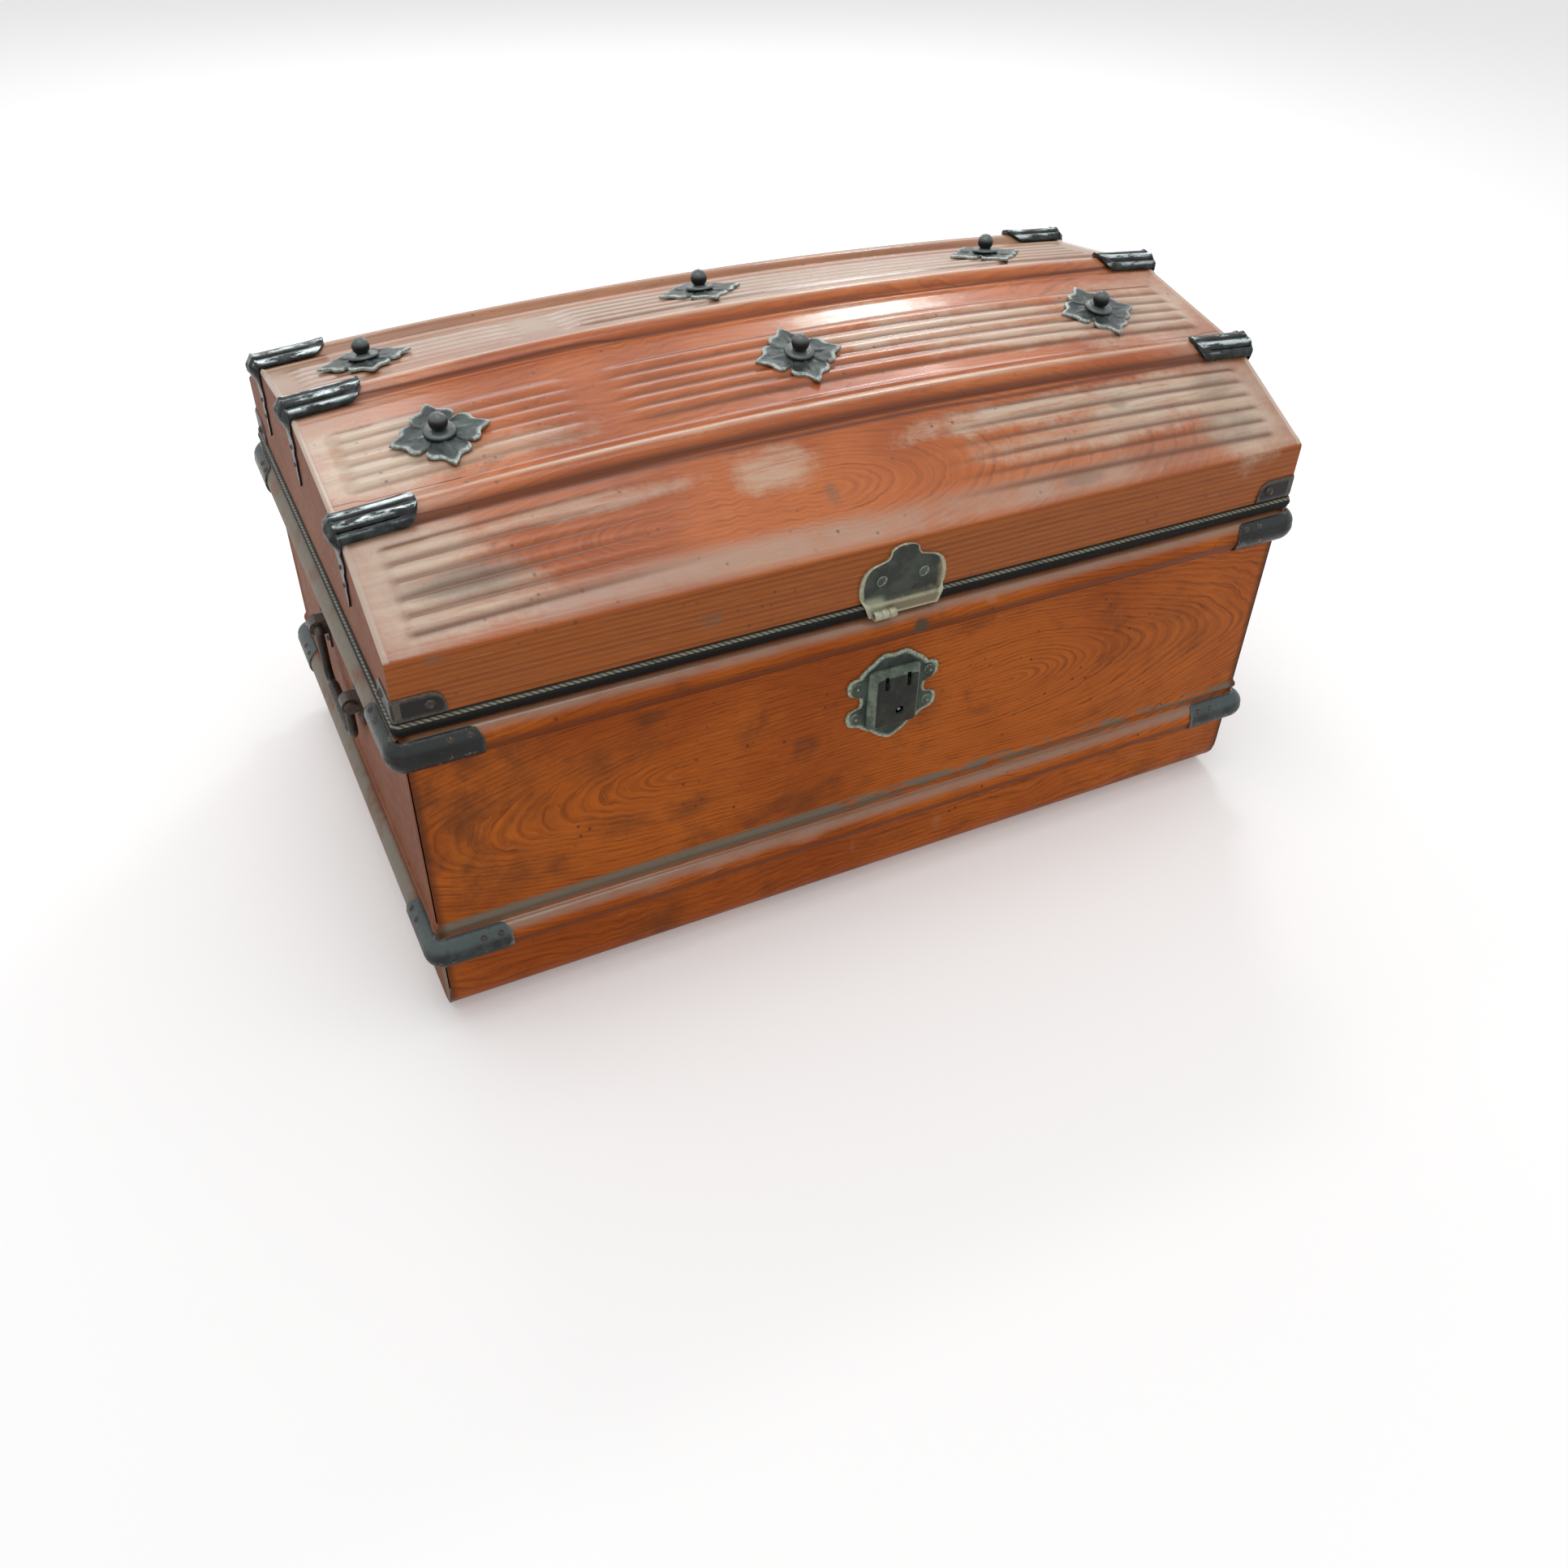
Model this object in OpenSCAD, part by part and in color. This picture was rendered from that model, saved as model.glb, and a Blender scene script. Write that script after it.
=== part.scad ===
// A small dome-topped tin trunk: a folded sheet body with pressed beads, a crowned lid with
// slat beads and reeding, corner clasps, slat caps, bosses, a lock, drop handles and hinges.
// Millimetres. +Z up, the front faces -Y, the origin is the middle of the underside.

/* [Body] */
// Length of the body over its end panels
body_l = 610; // [520:1:700]
// Depth of the body from its front wall to its back wall
body_d = 376; // [330:1:430]
// Height of the body's walls
body_h = 230; // [215:1:260]
// Thickness of the tinplate
sheet_t = 0.8; // [0.6:0.1:1.2]
// Radius of the bends along the bottom, front and back
bottom_r = 26; // [10:1:40]

/* [Body beads] */
// Height of the upper bead
top_bead_h = 22; // [18:0.5:24]
// How far both beads stand out from the walls
bead_out = 9.5; // [6:0.1:9.8]
// Height of the lower bead
low_bead_h = 20; // [19.7:0.1:24]
// Height of the lower bead's middle above the ground
low_bead_z = 64; // [56:1:90]
// Plain gap between the lower bead and the small ridge over it
ridge_gap = 4; // [2:0.5:8]
// Height of the small ridge
ridge_h = 6; // [5:0.5:8]
// How far the small ridge stands out
ridge_out = 2.4; // [1.5:0.1:2.5]

/* [Body rim] */
// Thickness of the rim strip inside the walls
rim_t = 1.2; // [0.8:0.1:2]
// How far the rim stands up into the lid
rim_up = 12; // [6:0.5:20]
// How far the rim reaches down inside the walls
rim_down = 30; // [26:1:45]

/* [Lid] */
// Gap between the walls' top edge and the lid's lower edge
lid_gap = 1; // [0.6:0.1:2]
// How far the lid's skirt stands out past the body's walls
lid_over = 1.4; // [1:0.1:2.5]
// Height of the upright skirt
skirt_h = 47.4; // [44:0.2:60]
// Distance of the front and back slat beads from the middle
slat_y = 113; // [95:1:125]
// Height of the outer slat lines over the lid's lower edge, at the ends
slat_rise = 85; // [75:0.5:95]
// Height of the crest line over the lid's lower edge, at the ends
crest_rise = 103.7; // [98:0.1:115]
// Lengthwise crown of the outer slat lines, end to middle
slat_crown = 13; // [0:0.5:18]
// Lengthwise crown of the crest line, end to middle
crest_crown = 16; // [0:0.5:20]
// Width of a slat bead
slat_w = 18; // [15:0.5:20]
// How far a slat bead stands out
slat_out = 7; // [5:0.5:7.4]
// Height of the half-round lip round the lid's lower edge
lip_h = 9.5; // [8:0.5:10]
// How far the lip stands out from the skirt
lip_out = 3.2; // [2:0.1:3.6]

/* [Reeding] */
// Distance between two ridges
flute_pitch = 11; // [8:0.5:13]
// Height of the ridges
flute_out = 1.4; // [0.6:0.1:2]
// Middle of the reeding on the outer slopes, down from the slat line
outer_flute_at = 46; // [42:1:50]
// Middle of the reeding on the inner slopes, down from the crest line
inner_flute_at = 60; // [46:1:60]
// Plain length in the middle of the outer slopes
outer_plain = 200; // [100:5:300]
// Length of the middle group on the inner slopes
inner_group = 250; // [150:5:300]
// Plain length between two groups on the inner slopes
inner_plain = 22; // [22:1:60]
// Plain length at each end
end_plain = 18; // [12:1:40]

/* [Clasps and brackets] */
// Length of each arm of a corner clasp
clasp_l = 43; // [30:1:55]
// Thickness of the clasps, brackets and caps
clasp_t = 1.2; // [0.8:0.1:1.6]
// Length of each arm of a lid corner bracket
bracket_l = 29; // [24:1:40]
// Height of a lid corner bracket
bracket_h = 15; // [12:0.5:20]

/* [Slat caps] */
// Length of a cap along its bead
cap_l = 44; // [34:1:55]
// How far a cap stands out past the lid's end
cap_out = 7; // [5:0.5:8]
// Depth of the grooves along a cap
cap_groove = 1.1; // [0.5:0.1:1.5]
// Length of a cap's tongue down the lid's end
tongue_l = 46; // [36:1:55]
// Width of a cap's tongue at its top
tongue_w = 22; // [16:1:24]

/* [Bosses] */
// Reach of a boss plate from its middle to a tip
boss_r = 30; // [24:0.5:34]
// Thickness of a boss plate
boss_t = 1.4; // [1:0.1:2]
// Distance of the outer bosses from the lid's ends, before the row's shift
boss_in = 79; // [72:0.2:120]
// Sideways shift of the front row of bosses
boss_front_shift = -5; // [-20:0.5:20]
// Sideways shift of the back row of bosses
boss_back_shift = -20; // [-20:0.5:20]
// Radius of the ball on a stud
stud_r = 6.2; // [4.5:0.1:7]
// Height of a stud over its plate
stud_h = 13; // [11:0.5:17]

/* [Lock] */
// Sideways place of the lock from the middle
lock_x = 2.5; // [-40:0.5:40]
// Height from the lock's middle up to the body's top edge
lock_drop = 65.5; // [62:0.5:90]
// Width of the lock's case
case_w = 37; // [34:0.5:44]
// Height of the lock's case
case_h = 45; // [43:0.5:50]
// How far the case stands out from its plate
case_out = 7; // [6:0.5:10]
// Thickness of the lock's plate and case
lock_t = 1.2; // [0.8:0.1:1.5]
// Height of a hasp slot
slot_h = 10; // [8:0.5:12]
// Width of a hasp slot
slot_w = 3.4; // [2.5:0.1:3.6]
// Distance of a hasp slot from the lock's middle
slot_x = 8; // [7:0.5:10]
// Radius of the keyhole
keyhole_r = 3.1; // [2.6:0.1:3.6]
// Travel of the bolt
bolt_travel = 5; // [3:0.5:6]

/* [Handles] */
// Height of a handle's pivot above the ground
handle_z = 160; // [130:1:165]
// Distance between the middles of a handle's two ears
ear_span = 96; // [84:1:130]
// Distance of the pivot from the end wall
pivot_out = 7.5; // [6.5:0.5:10]
// Drop from the pivot to the middle of the grip
handle_drop = 36; // [30:1:40]
// Radius of a handle's rod
rod_r = 3; // [2.5:0.1:3.5]
// Radius of a handle's grip
grip_r = 4.2; // [3.6:0.1:5]

/* [Hinges] */
// Distance of each hinge's middle from the trunk's end
hinge_in = 115; // [95:1:185]
// Width of a hinge
hinge_w = 46; // [36:1:60]
// Distance of the hinge pin from the back wall
hinge_out = 9; // [8.6:0.1:10]
// Height of the hinge pin over the body's top edge
hinge_up = 4; // [3.6:0.1:5]
// Radius of the hinge pin
pin_r = 1.6; // [1.2:0.1:1.8]
// Thickness of a hinge leaf
leaf_t = 1.5; // [1:0.1:1.6]

/* [Fits] */
// Clearance between a pin and the bore that turns on it
pin_fit = 0.06; // [0.03:0.01:0.1]
// Clearance between a piece and what it is seated on
seat_fit = 0.1; // [0.05:0.01:0.2]
// Clearance between the sliding bolt and its guides
slide_fit = 0.35; // [0.3:0.05:0.5]

/* [Hidden] */
$fn = 48;

// Colours, as the trunk shows them
grained = [0.60, 0.28, 0.12];
end_paint = [0.52, 0.27, 0.20];
japan = [0.10, 0.10, 0.10];
patina = [0.33, 0.38, 0.36];
worn_steel = [0.45, 0.45, 0.44];

// Places that follow from the sizes above
top_bead_z = body_h - top_bead_h / 2;
ridge_z = low_bead_z + low_bead_h / 2 + ridge_gap + ridge_h / 2;
reach = 30;                              // more than anything that stands out of a wall
lid_z = body_h + lid_gap;                // the lid's lower edge
lid_l = body_l + 2 * lid_over;
lid_d = body_d + 2 * lid_over;
fold_z = lid_z + skirt_h;
lip_top = lid_z + lip_h;
boss_gap = lid_l / 2 - boss_in;          // distance between two bosses of a row
lock_z = body_h - lock_drop;
hinge_x = body_l / 2 - hinge_in;
hinge_z = body_h + hinge_up;
knuckle_r = pin_r + pin_fit + 1.7;
ear_r = rod_r + pin_fit + 2.4;           // outer radius of a handle's ear
ear_w = 10;
ear_h = 34;                              // height of an ear's foot
ear_t = 1.5;
ear_rivet = 12;                          // its rivets, over and under the pivot
nail_slope = -38;                        // degrees a clasp's nails look down
base_leaf_down = 28;                     // reach of a hinge's leaf under the upper bead
base_rivet_down = 17;
lid_leaf_down = 5;                       // top of a hinge's lid leaf under the fold
lid_rivet_down = 16;
hasp_over = 0.3;                         // gap between the lip and what bridges it

// ---------- outlines ----------

// Radius of the arc with this chord and rise
function arc_r(h, out) = (h * h / 4 + out * out) / (2 * out);

// Half the arc's angle
function arc_half(h, out) = asin(min(1, h / 2 / arc_r(h, out)));

// A bead seen from its end: points [out, z] from low to high, moved outwards by skin
function bead(z, h, out, skin, steps, from, to) =
  let (r = arc_r(h, out))
  [for (i = [0:steps])
    let (a = from + (to - from) * i / steps)
    [out - r + (r + skin) * cos(a), z + (r + skin) * sin(a)]];

function whole_bead(z, h, out, skin, steps) =
  bead(z, h, out, skin, steps, -arc_half(h, out), arc_half(h, out));

// A wall seen from its end, from the bottom bend up to its top edge
function wall_outer() = concat(
  whole_bead(low_bead_z, low_bead_h, bead_out, 0, 12),
  whole_bead(ridge_z, ridge_h, ridge_out, 0, 4),
  whole_bead(top_bead_z, top_bead_h, bead_out, 0, 12));

function wall_inner() = concat(
  [[-sheet_t, low_bead_z - low_bead_h / 2]],
  whole_bead(low_bead_z, low_bead_h, bead_out, -sheet_t, 12),
  [[-sheet_t, low_bead_z + low_bead_h / 2], [-sheet_t, top_bead_z - top_bead_h / 2]],
  whole_bead(top_bead_z, top_bead_h, bead_out, -sheet_t, 12),
  [[-sheet_t, body_h - sheet_t], [-sheet_t, body_h]]);

function reversed(list) = [for (i = [len(list) - 1:-1:0]) list[i]];

// Points of an arc about [cx, cy]
function arc(cx, cy, r, from, to, steps) =
  [for (i = [0:steps]) let (a = from + (to - from) * i / steps) [cx + r * cos(a), cy + r * sin(a)]];

// The folded sheet's cross-section seen from its end, one side of its thickness
function fold_path(side, r) = concat(
  reversed([for (p = side) [-body_d / 2 - p[0], p[1]]]),
  arc(-body_d / 2 + bottom_r, bottom_r, r, 180, 270, 8),
  arc(body_d / 2 - bottom_r, bottom_r, r, 270, 360, 8),
  [for (p = side) [body_d / 2 + p[0], p[1]]]);

// ---------- placing ----------

// Extrudes a [y, z] outline along X, centred
module along_x(length) {
  rotate([90, 0, 90]) translate([0, 0, -length / 2]) linear_extrude(height = length) children();
}

// Extrudes an [x, z] outline along Y, centred
module along_y(length) {
  rotate([90, 0, 0]) translate([0, 0, -length / 2]) linear_extrude(height = length) children();
}

// Moves what is drawn at the right front to another side: side -1 is left, face 1 is the back
module at_side(side, face) {
  mirror([side < 0 ? 1 : 0, 0, 0]) mirror([0, face > 0 ? 1 : 0, 0]) children();
}

// The space outside and inside the long walls, up to the corners' mitres
module long_zone(l, d, inset) {
  linear_extrude(height = 2 * body_h) polygon([
    [-l / 2 + inset, -d / 2 + inset], [-l / 2 - reach, -d / 2 - reach],
    [l / 2 + reach, -d / 2 - reach], [l / 2 - inset, -d / 2 + inset],
    [l / 2 - inset, d / 2 - inset], [l / 2 + reach, d / 2 + reach],
    [-l / 2 - reach, d / 2 + reach], [-l / 2 + inset, d / 2 - inset]]);
}

// The same for the right end wall
module end_zone(l, d, inset) {
  linear_extrude(height = 2 * body_h) polygon([
    [l / 2 - inset, -d / 2 + inset], [l / 2 + reach, -d / 2 - reach],
    [l / 2 + reach, d / 2 + reach], [l / 2 - inset, d / 2 - inset]]);
}

// Carries a closed [out, z] outline round a rectangle, with mitred corners
module frame_of(outline, l, d, inset) {
  intersection() {
    for (face = [-1, 1])
      mirror([0, face < 0 ? 1 : 0, 0])
        along_x(l + 2 * reach) polygon([for (p = outline) [d / 2 + p[0], p[1]]]);
    long_zone(l, d, inset);
  }
  for (side = [-1, 1])
    mirror([side < 0 ? 1 : 0, 0, 0])
      intersection() {
        along_y(d + 2 * reach) polygon([for (p = outline) [l / 2 + p[0], p[1]]]);
        end_zone(l, d, inset);
      }
}

// Stands local Z out of the front wall, local Y up
module on_front(x, out, z) {
  translate([x, -body_d / 2 - out, z]) rotate([90, 0, 0]) children();
}

// Stands local Z out of the back wall, local Y up
module on_back(x, out, z) {
  translate([x, body_d / 2 + out, z]) rotate([-90, 180, 0]) children();
}

// Stands local Z out of the right end wall, local Y up
module on_end(y, out, z) {
  translate([body_l / 2 + out, y, z]) rotate([90, 0, 90]) children();
}

// A domed head of radius r and height h standing on local Z = 0
module dome(r, h) {
  ball = (r * r + h * h) / (2 * h);
  intersection() {
    cylinder(r = r, h = h);
    translate([0, 0, h - ball]) sphere(r = ball);
  }
}

// ---------- body ----------

module body_wrapper() {
  color(grained) intersection() {
    along_x(body_l + 2 * reach)
      polygon(concat(fold_path(wall_outer(), bottom_r),
        reversed(fold_path(wall_inner(), bottom_r - sheet_t))));
    translate([0, 0, -1]) long_zone(body_l, body_d, sheet_t);
  }
}

module end_panel(side) {
  color(end_paint) at_side(side, -1) intersection() {
    along_y(body_d + 2 * reach)
      polygon([for (p = concat([[0, 0]], wall_outer(), reversed(wall_inner()), [[-sheet_t, 0]]))
        [body_l / 2 + p[0], p[1]]]);
    translate([0, 0, -1]) end_zone(body_l, body_d, sheet_t);
    along_x(body_l + 4 * reach) polygon(fold_path(wall_outer(), bottom_r));
  }
}

module body_rim() {
  color(worn_steel) frame_of([
    [-sheet_t - rim_t, body_h - rim_down], [-sheet_t, body_h - rim_down],
    [-sheet_t, body_h + rim_up], [-sheet_t - rim_t, body_h + rim_up]],
    body_l, body_d, sheet_t + rim_t + 2);
}

// One arm of a clasp along the front wall from the right front corner, in the corner's frame:
// X along the wall, -Y out of it
module clasp_arm(z, h, out, from, to) {
  half = arc_r(h, out) + clasp_t;
  end_r = half * 0.6;
  intersection() {
    translate([(reach - clasp_l) / 2, 0, 0]) rotate([90, 0, -90])
      translate([0, 0, -(clasp_l + reach) / 2]) linear_extrude(height = clasp_l + reach)
        polygon(concat(bead(z, h, out, seat_fit, 12, from, to),
          reversed(bead(z, h, out, seat_fit + clasp_t, 12, from, to))));
    translate([0, 0, z - 2 * half]) linear_extrude(height = 4 * half)
      polygon([[-clasp_l, 5], [-clasp_l, -reach], [reach, -reach], [-5, 5]]);
    rotate([90, 0, 0]) translate([0, 0, -reach]) linear_extrude(height = 2 * reach)
      polygon(concat([[reach, z - half]],
        reversed(arc(-clasp_l + end_r, z - half + end_r, end_r, 180, 270, 5)),
        reversed(arc(-clasp_l + end_r, z + half - end_r, end_r, 90, 180, 5)),
        [[reach, z + half]]));
  }
}

module clasp(side, face, z, h, from, to) {
  at_side(side, face) translate([body_l / 2, -body_d / 2, 0]) {
    clasp_arm(z, h, bead_out, from, to);
    mirror([1, 1, 0]) clasp_arm(z, h, bead_out, from, to);
  }
}

// The upper clasps end below the lid's lip
module upper_clasp(side, face) {
  color(japan) clasp(side, face, top_bead_z, top_bead_h, -78, 60);
}

module lower_clasp(side, face) {
  color(patina) clasp(side, face, low_bead_z, low_bead_h, -80, 80);
}

// Nails through a clasp's two arms, on the slope of the bead
module clasp_nails(z, h, slope) {
  r = arc_r(h, bead_out) + seat_fit + clasp_t;
  for (side = [-1, 1], face = [-1, 1], arm = [0, 1], back = [7, 18])
    at_side(side, face) translate([body_l / 2, -body_d / 2, 0]) mirror([arm, arm, 0])
      translate([-clasp_l + back, -(bead_out - arc_r(h, bead_out)), z])
        rotate([90 + slope, 0, 0]) translate([0, 0, r]) dome(2.2, 1.2);
}

// ---------- lock ----------

module rounded_box(w, h, t, r) {
  linear_extrude(height = t) polygon(concat(
    arc(w / 2 - r, h / 2 - r, r, 0, 90, 4), arc(-w / 2 + r, h / 2 - r, r, 90, 180, 4),
    arc(-w / 2 + r, -h / 2 + r, r, 180, 270, 4), arc(w / 2 - r, -h / 2 + r, r, 270, 360, 4)));
}

// Places of the four rivets round the lock
ear_x = case_w / 2 + 8;
ear_high = 13;
ear_low = -11;

// The scalloped plate behind the case: pointed above and below, an ear at each rivet
module lock_outline() {
  union() {
    polygon([
      [0, case_h / 2 + 10], [7, case_h / 2 + 12.5], [17, case_h / 2 + 6], [ear_x, ear_high + 7],
      [ear_x - 3, 2], [ear_x, ear_low - 7], [13, -case_h / 2 - 4], [6, -case_h / 2 - 10],
      [0, -case_h / 2 - 12],
      [-6, -case_h / 2 - 10], [-13, -case_h / 2 - 4], [-ear_x, ear_low - 7],
      [-ear_x + 3, 2], [-ear_x, ear_high + 7], [-17, case_h / 2 + 6], [-7, case_h / 2 + 12.5]]);
    for (side = [-1, 1], y = [ear_high, ear_low]) translate([side * ear_x, y]) circle(r = 7);
  }
}

bolt_y = case_h / 2 - 14;                // the bolt runs just under the slots' tops
bolt_h = 7;
bolt_t = 2.4;
case_in = case_w - 2 * lock_t - 2;       // width of the room inside the case
bolt_l = case_in - bolt_travel - 2 * slide_fit;
guide_t = 1.2;
slot_low = case_h / 2 - 13;              // foot of the hasp slots
key_x = 2.5;                             // place of the keyhole and its post
key_y = -8;

module lock_plate() {
  color(patina) on_front(lock_x, seat_fit, lock_z) {
    linear_extrude(height = lock_t) lock_outline();
    // guides over and under the bolt, open where the hasp slots are
    difference() {
      for (side = [-1, 1])
        translate([-bolt_l / 2, bolt_y - guide_t / 2
          + side * (bolt_h / 2 + slide_fit + guide_t / 2), lock_t])
          cube([bolt_l, guide_t, slide_fit + bolt_t]);
      for (side = [-1, 1])
        translate([side * slot_x - slot_w / 2 - 0.5, slot_low, lock_t])
          cube([slot_w + 1, slot_h, 2 * bolt_t]);
    }
  }
}

module lock_case() {
  color(patina) on_front(lock_x, seat_fit + lock_t, lock_z) difference() {
    union() {
      rounded_box(case_w, case_h, case_out - 1, 2);
      rounded_box(case_w - 2, case_h - 2, case_out, 2);
    }
    translate([0, 0, -1])
      rounded_box(case_in, case_h - 2 * lock_t - 2, case_out - lock_t + 1, 1);
    for (side = [-1, 1])
      translate([side * slot_x - slot_w / 2, slot_low, 0])
        cube([slot_w, slot_h, case_out + 1]);
    translate([key_x, key_y, 0]) cylinder(r = keyhole_r, h = case_out + 1);
  }
}

// The bolt lies to the left when the lock is open, with two noses beside the slots
module lock_bolt() {
  color(worn_steel) on_front(lock_x, seat_fit + lock_t + slide_fit, lock_z)
    translate([-bolt_travel / 2, bolt_y, 0]) difference() {
      translate([-bolt_l / 2, -bolt_h / 2, 0]) cube([bolt_l, bolt_h, bolt_t]);
      for (side = [-1, 1])
        translate([side * slot_x + bolt_travel / 2 - slot_w / 2 - 0.5, -0.5, -1])
          cube([slot_w + 1, bolt_h, bolt_t + 2]);
    }
}

// A bent strip under the bolt's lower guide
module lock_spring() {
  color(worn_steel) on_front(lock_x, seat_fit + lock_t, lock_z)
    translate([0, bolt_y - bolt_h / 2 - slide_fit - guide_t - seat_fit, 0])
      linear_extrude(height = bolt_t)
        polygon([[-13, 0], [-13, -0.7], [-4, -0.7], [9, -3.6], [13, -3.6], [13, -2.9], [9, -2.9],
          [-4, 0]]);
}

module key_post() {
  color(worn_steel) on_front(lock_x, seat_fit + lock_t, lock_z)
    translate([key_x, key_y, 0]) cylinder(r = 1.1, h = case_out - lock_t);
}

module lock_rivets() {
  color(patina) on_front(lock_x, seat_fit + lock_t, lock_z)
    for (side = [-1, 1], y = [ear_high, ear_low]) translate([side * ear_x, y, 0]) dome(3.4, 2);
}

// ---------- handles ----------

module handle_ears(side) {
  color(japan) at_side(side, -1) for (end = [-1, 1]) {
    difference() {
      union() {
        on_end(end * ear_span / 2, seat_fit, handle_z) {
          translate([-ear_w / 2, -ear_h / 2, 0]) cube([ear_w, ear_h, ear_t]);
          translate([-ear_w / 2, -ear_r, 0]) cube([ear_w, 2 * ear_r, pivot_out - seat_fit]);
        }
        translate([body_l / 2 + pivot_out, end * ear_span / 2, handle_z])
          rotate([90, 0, 0]) translate([0, 0, -ear_w / 2]) cylinder(r = ear_r, h = ear_w);
      }
      translate([body_l / 2 + pivot_out, end * ear_span / 2, handle_z])
        rotate([90, 0, 0]) cylinder(r = rod_r + pin_fit, h = 2 * ear_w, center = true);
    }
  }
}

// A bail: a rod whose ends turn outwards through the ears, with a thicker grip below
module handle(side) {
  leg_y = ear_span / 2 - ear_w / 2 - 1 - rod_r;
  pin_end = ear_span / 2 + ear_w / 2 + 3;
  bend = 9;
  color(japan) at_side(side, -1) translate([body_l / 2 + pivot_out, 0, handle_z]) union() {
    for (end = [-1, 1]) mirror([0, end > 0 ? 0 : 1, 0]) {
      translate([0, leg_y, 0]) rotate([-90, 0, 0]) cylinder(r = rod_r, h = pin_end - leg_y);
      translate([0, pin_end - 2, 0]) rotate([-90, 0, 0]) cylinder(r = rod_r + 1.2, h = 2);
      translate([0, leg_y, 0]) sphere(r = rod_r);
      translate([0, leg_y, -handle_drop + bend]) cylinder(r = rod_r, h = handle_drop - bend);
      translate([0, leg_y - bend, -handle_drop + bend]) rotate([0, 90, 0])
        rotate_extrude(angle = 90) translate([bend, 0]) circle(r = rod_r);
    }
    translate([0, 0, -handle_drop]) rotate([90, 0, 0])
      cylinder(r = rod_r, h = 2 * (leg_y - bend), center = true);
    translate([0, 0, -handle_drop]) rotate([90, 0, 0])
      cylinder(r = grip_r, h = 1.5 * (leg_y - bend), center = true);
  }
}

module handle_rivets() {
  color(japan) for (side = [-1, 1], end = [-1, 1], up = [-1, 1])
    at_side(side, -1) on_end(end * ear_span / 2, seat_fit + ear_t, handle_z + up * ear_rivet)
      dome(2.6, 1.6);
}

// ---------- hinges ----------

hinge_lug = (hinge_w - 2 * 0.4) / 3;     // length of one knuckle

// The hinge's place on the back wall: local X along the wall, Y out of it, Z up
module at_hinge(side) {
  translate([side * hinge_x, body_d / 2, 0]) children();
}

module hinge_slice(from, to, outline) {
  translate([(from + to) / 2, 0, 0]) along_x(to - from) polygon(outline);
}

module knuckle(from, to) {
  translate([from, hinge_out, hinge_z]) rotate([0, 90, 0]) cylinder(r = knuckle_r, h = to - from);
}

module hinge_bore() {
  translate([0, hinge_out, hinge_z]) rotate([0, 90, 0])
    cylinder(r = pin_r + pin_fit, h = 2 * hinge_w, center = true);
}

// The leaf lies on the back wall and follows the upper bead up to the pin
module hinge_base_leaf(side) {
  half = arc_half(top_bead_h, bead_out);
  r = arc_r(top_bead_h, bead_out);
  low = top_bead_z - top_bead_h / 2;
  inner = bead(top_bead_z, top_bead_h, bead_out, seat_fit, 9, -half, 25);
  outer = bead(top_bead_z, top_bead_h, bead_out, seat_fit + leaf_t, 9, -half, 25);
  color(japan) at_hinge(side) difference() {
    union() {
      hinge_slice(-hinge_w / 2, hinge_w / 2, concat(
        [[seat_fit, low - base_leaf_down], [seat_fit, low - seat_fit - 0.3]], inner, reversed(outer),
        [[seat_fit + leaf_t, low - leaf_t], [seat_fit + leaf_t, low - base_leaf_down]]));
      for (end = [-1, 1]) {
        from = end < 0 ? -hinge_w / 2 : hinge_w / 2 - hinge_lug;
        knuckle(from, from + hinge_lug);
        hinge_slice(from, from + hinge_lug, [
          inner[9], outer[9], [hinge_out + leaf_t / 2, hinge_z], [hinge_out - leaf_t / 2, hinge_z]]);
      }
    }
    hinge_bore();
  }
}

// The leaf steps in over the lip and lies on the lid's skirt
module hinge_lid_leaf(side) {
  skirt = lid_over + seat_fit;
  proud = lid_over + lip_out + 2 * hasp_over;
  color(japan) at_hinge(side) difference() {
    union() {
      hinge_slice(-hinge_w / 2, hinge_w / 2, [
        [skirt, fold_z - lid_leaf_down], [skirt, lip_top + hasp_over], [proud, lip_top + hasp_over],
        [proud + leaf_t, lip_top + hasp_over], [proud + leaf_t * 0.6, lip_top + hasp_over + leaf_t],
        [skirt + leaf_t, lip_top + hasp_over + leaf_t], [skirt + leaf_t, fold_z - lid_leaf_down]]);
      knuckle(-hinge_lug / 2, hinge_lug / 2);
      hinge_slice(-hinge_lug / 2, hinge_lug / 2, [
        [proud, lip_top + hasp_over], [hinge_out - 2.2, hinge_z + 1],
        [hinge_out, hinge_z + 2.4], [proud + leaf_t, lip_top + hasp_over]]);
    }
    hinge_bore();
  }
}

module hinge_pin(side) {
  color(worn_steel) at_hinge(side) translate([0, hinge_out, hinge_z]) rotate([0, 90, 0])
    cylinder(r = pin_r, h = hinge_w + 1, center = true);
}

module hinge_base_rivets() {
  color(japan) for (side = [-1, 1], x = [-1, 0, 1])
    on_back(side * hinge_x + x * hinge_w / 3, seat_fit + leaf_t,
      top_bead_z - top_bead_h / 2 - base_rivet_down) dome(2.6, 1.6);
}

module hinge_lid_rivets() {
  color(japan) for (side = [-1, 1], x = [-1, 0, 1])
    on_back(side * hinge_x + x * hinge_w / 3, lid_over + seat_fit + leaf_t,
      fold_z - lid_rivet_down) dome(2.6, 1.6);
}

// ---------- lid ----------

// The lid's three upper lines rise from both ends to the middle
function crown(x) = 1 - pow(2 * x / lid_l, 2);
function slat_z(x) = lid_z + slat_rise + slat_crown * crown(x);
function crest_z(x) = lid_z + crest_rise + crest_crown * crown(x);

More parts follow.
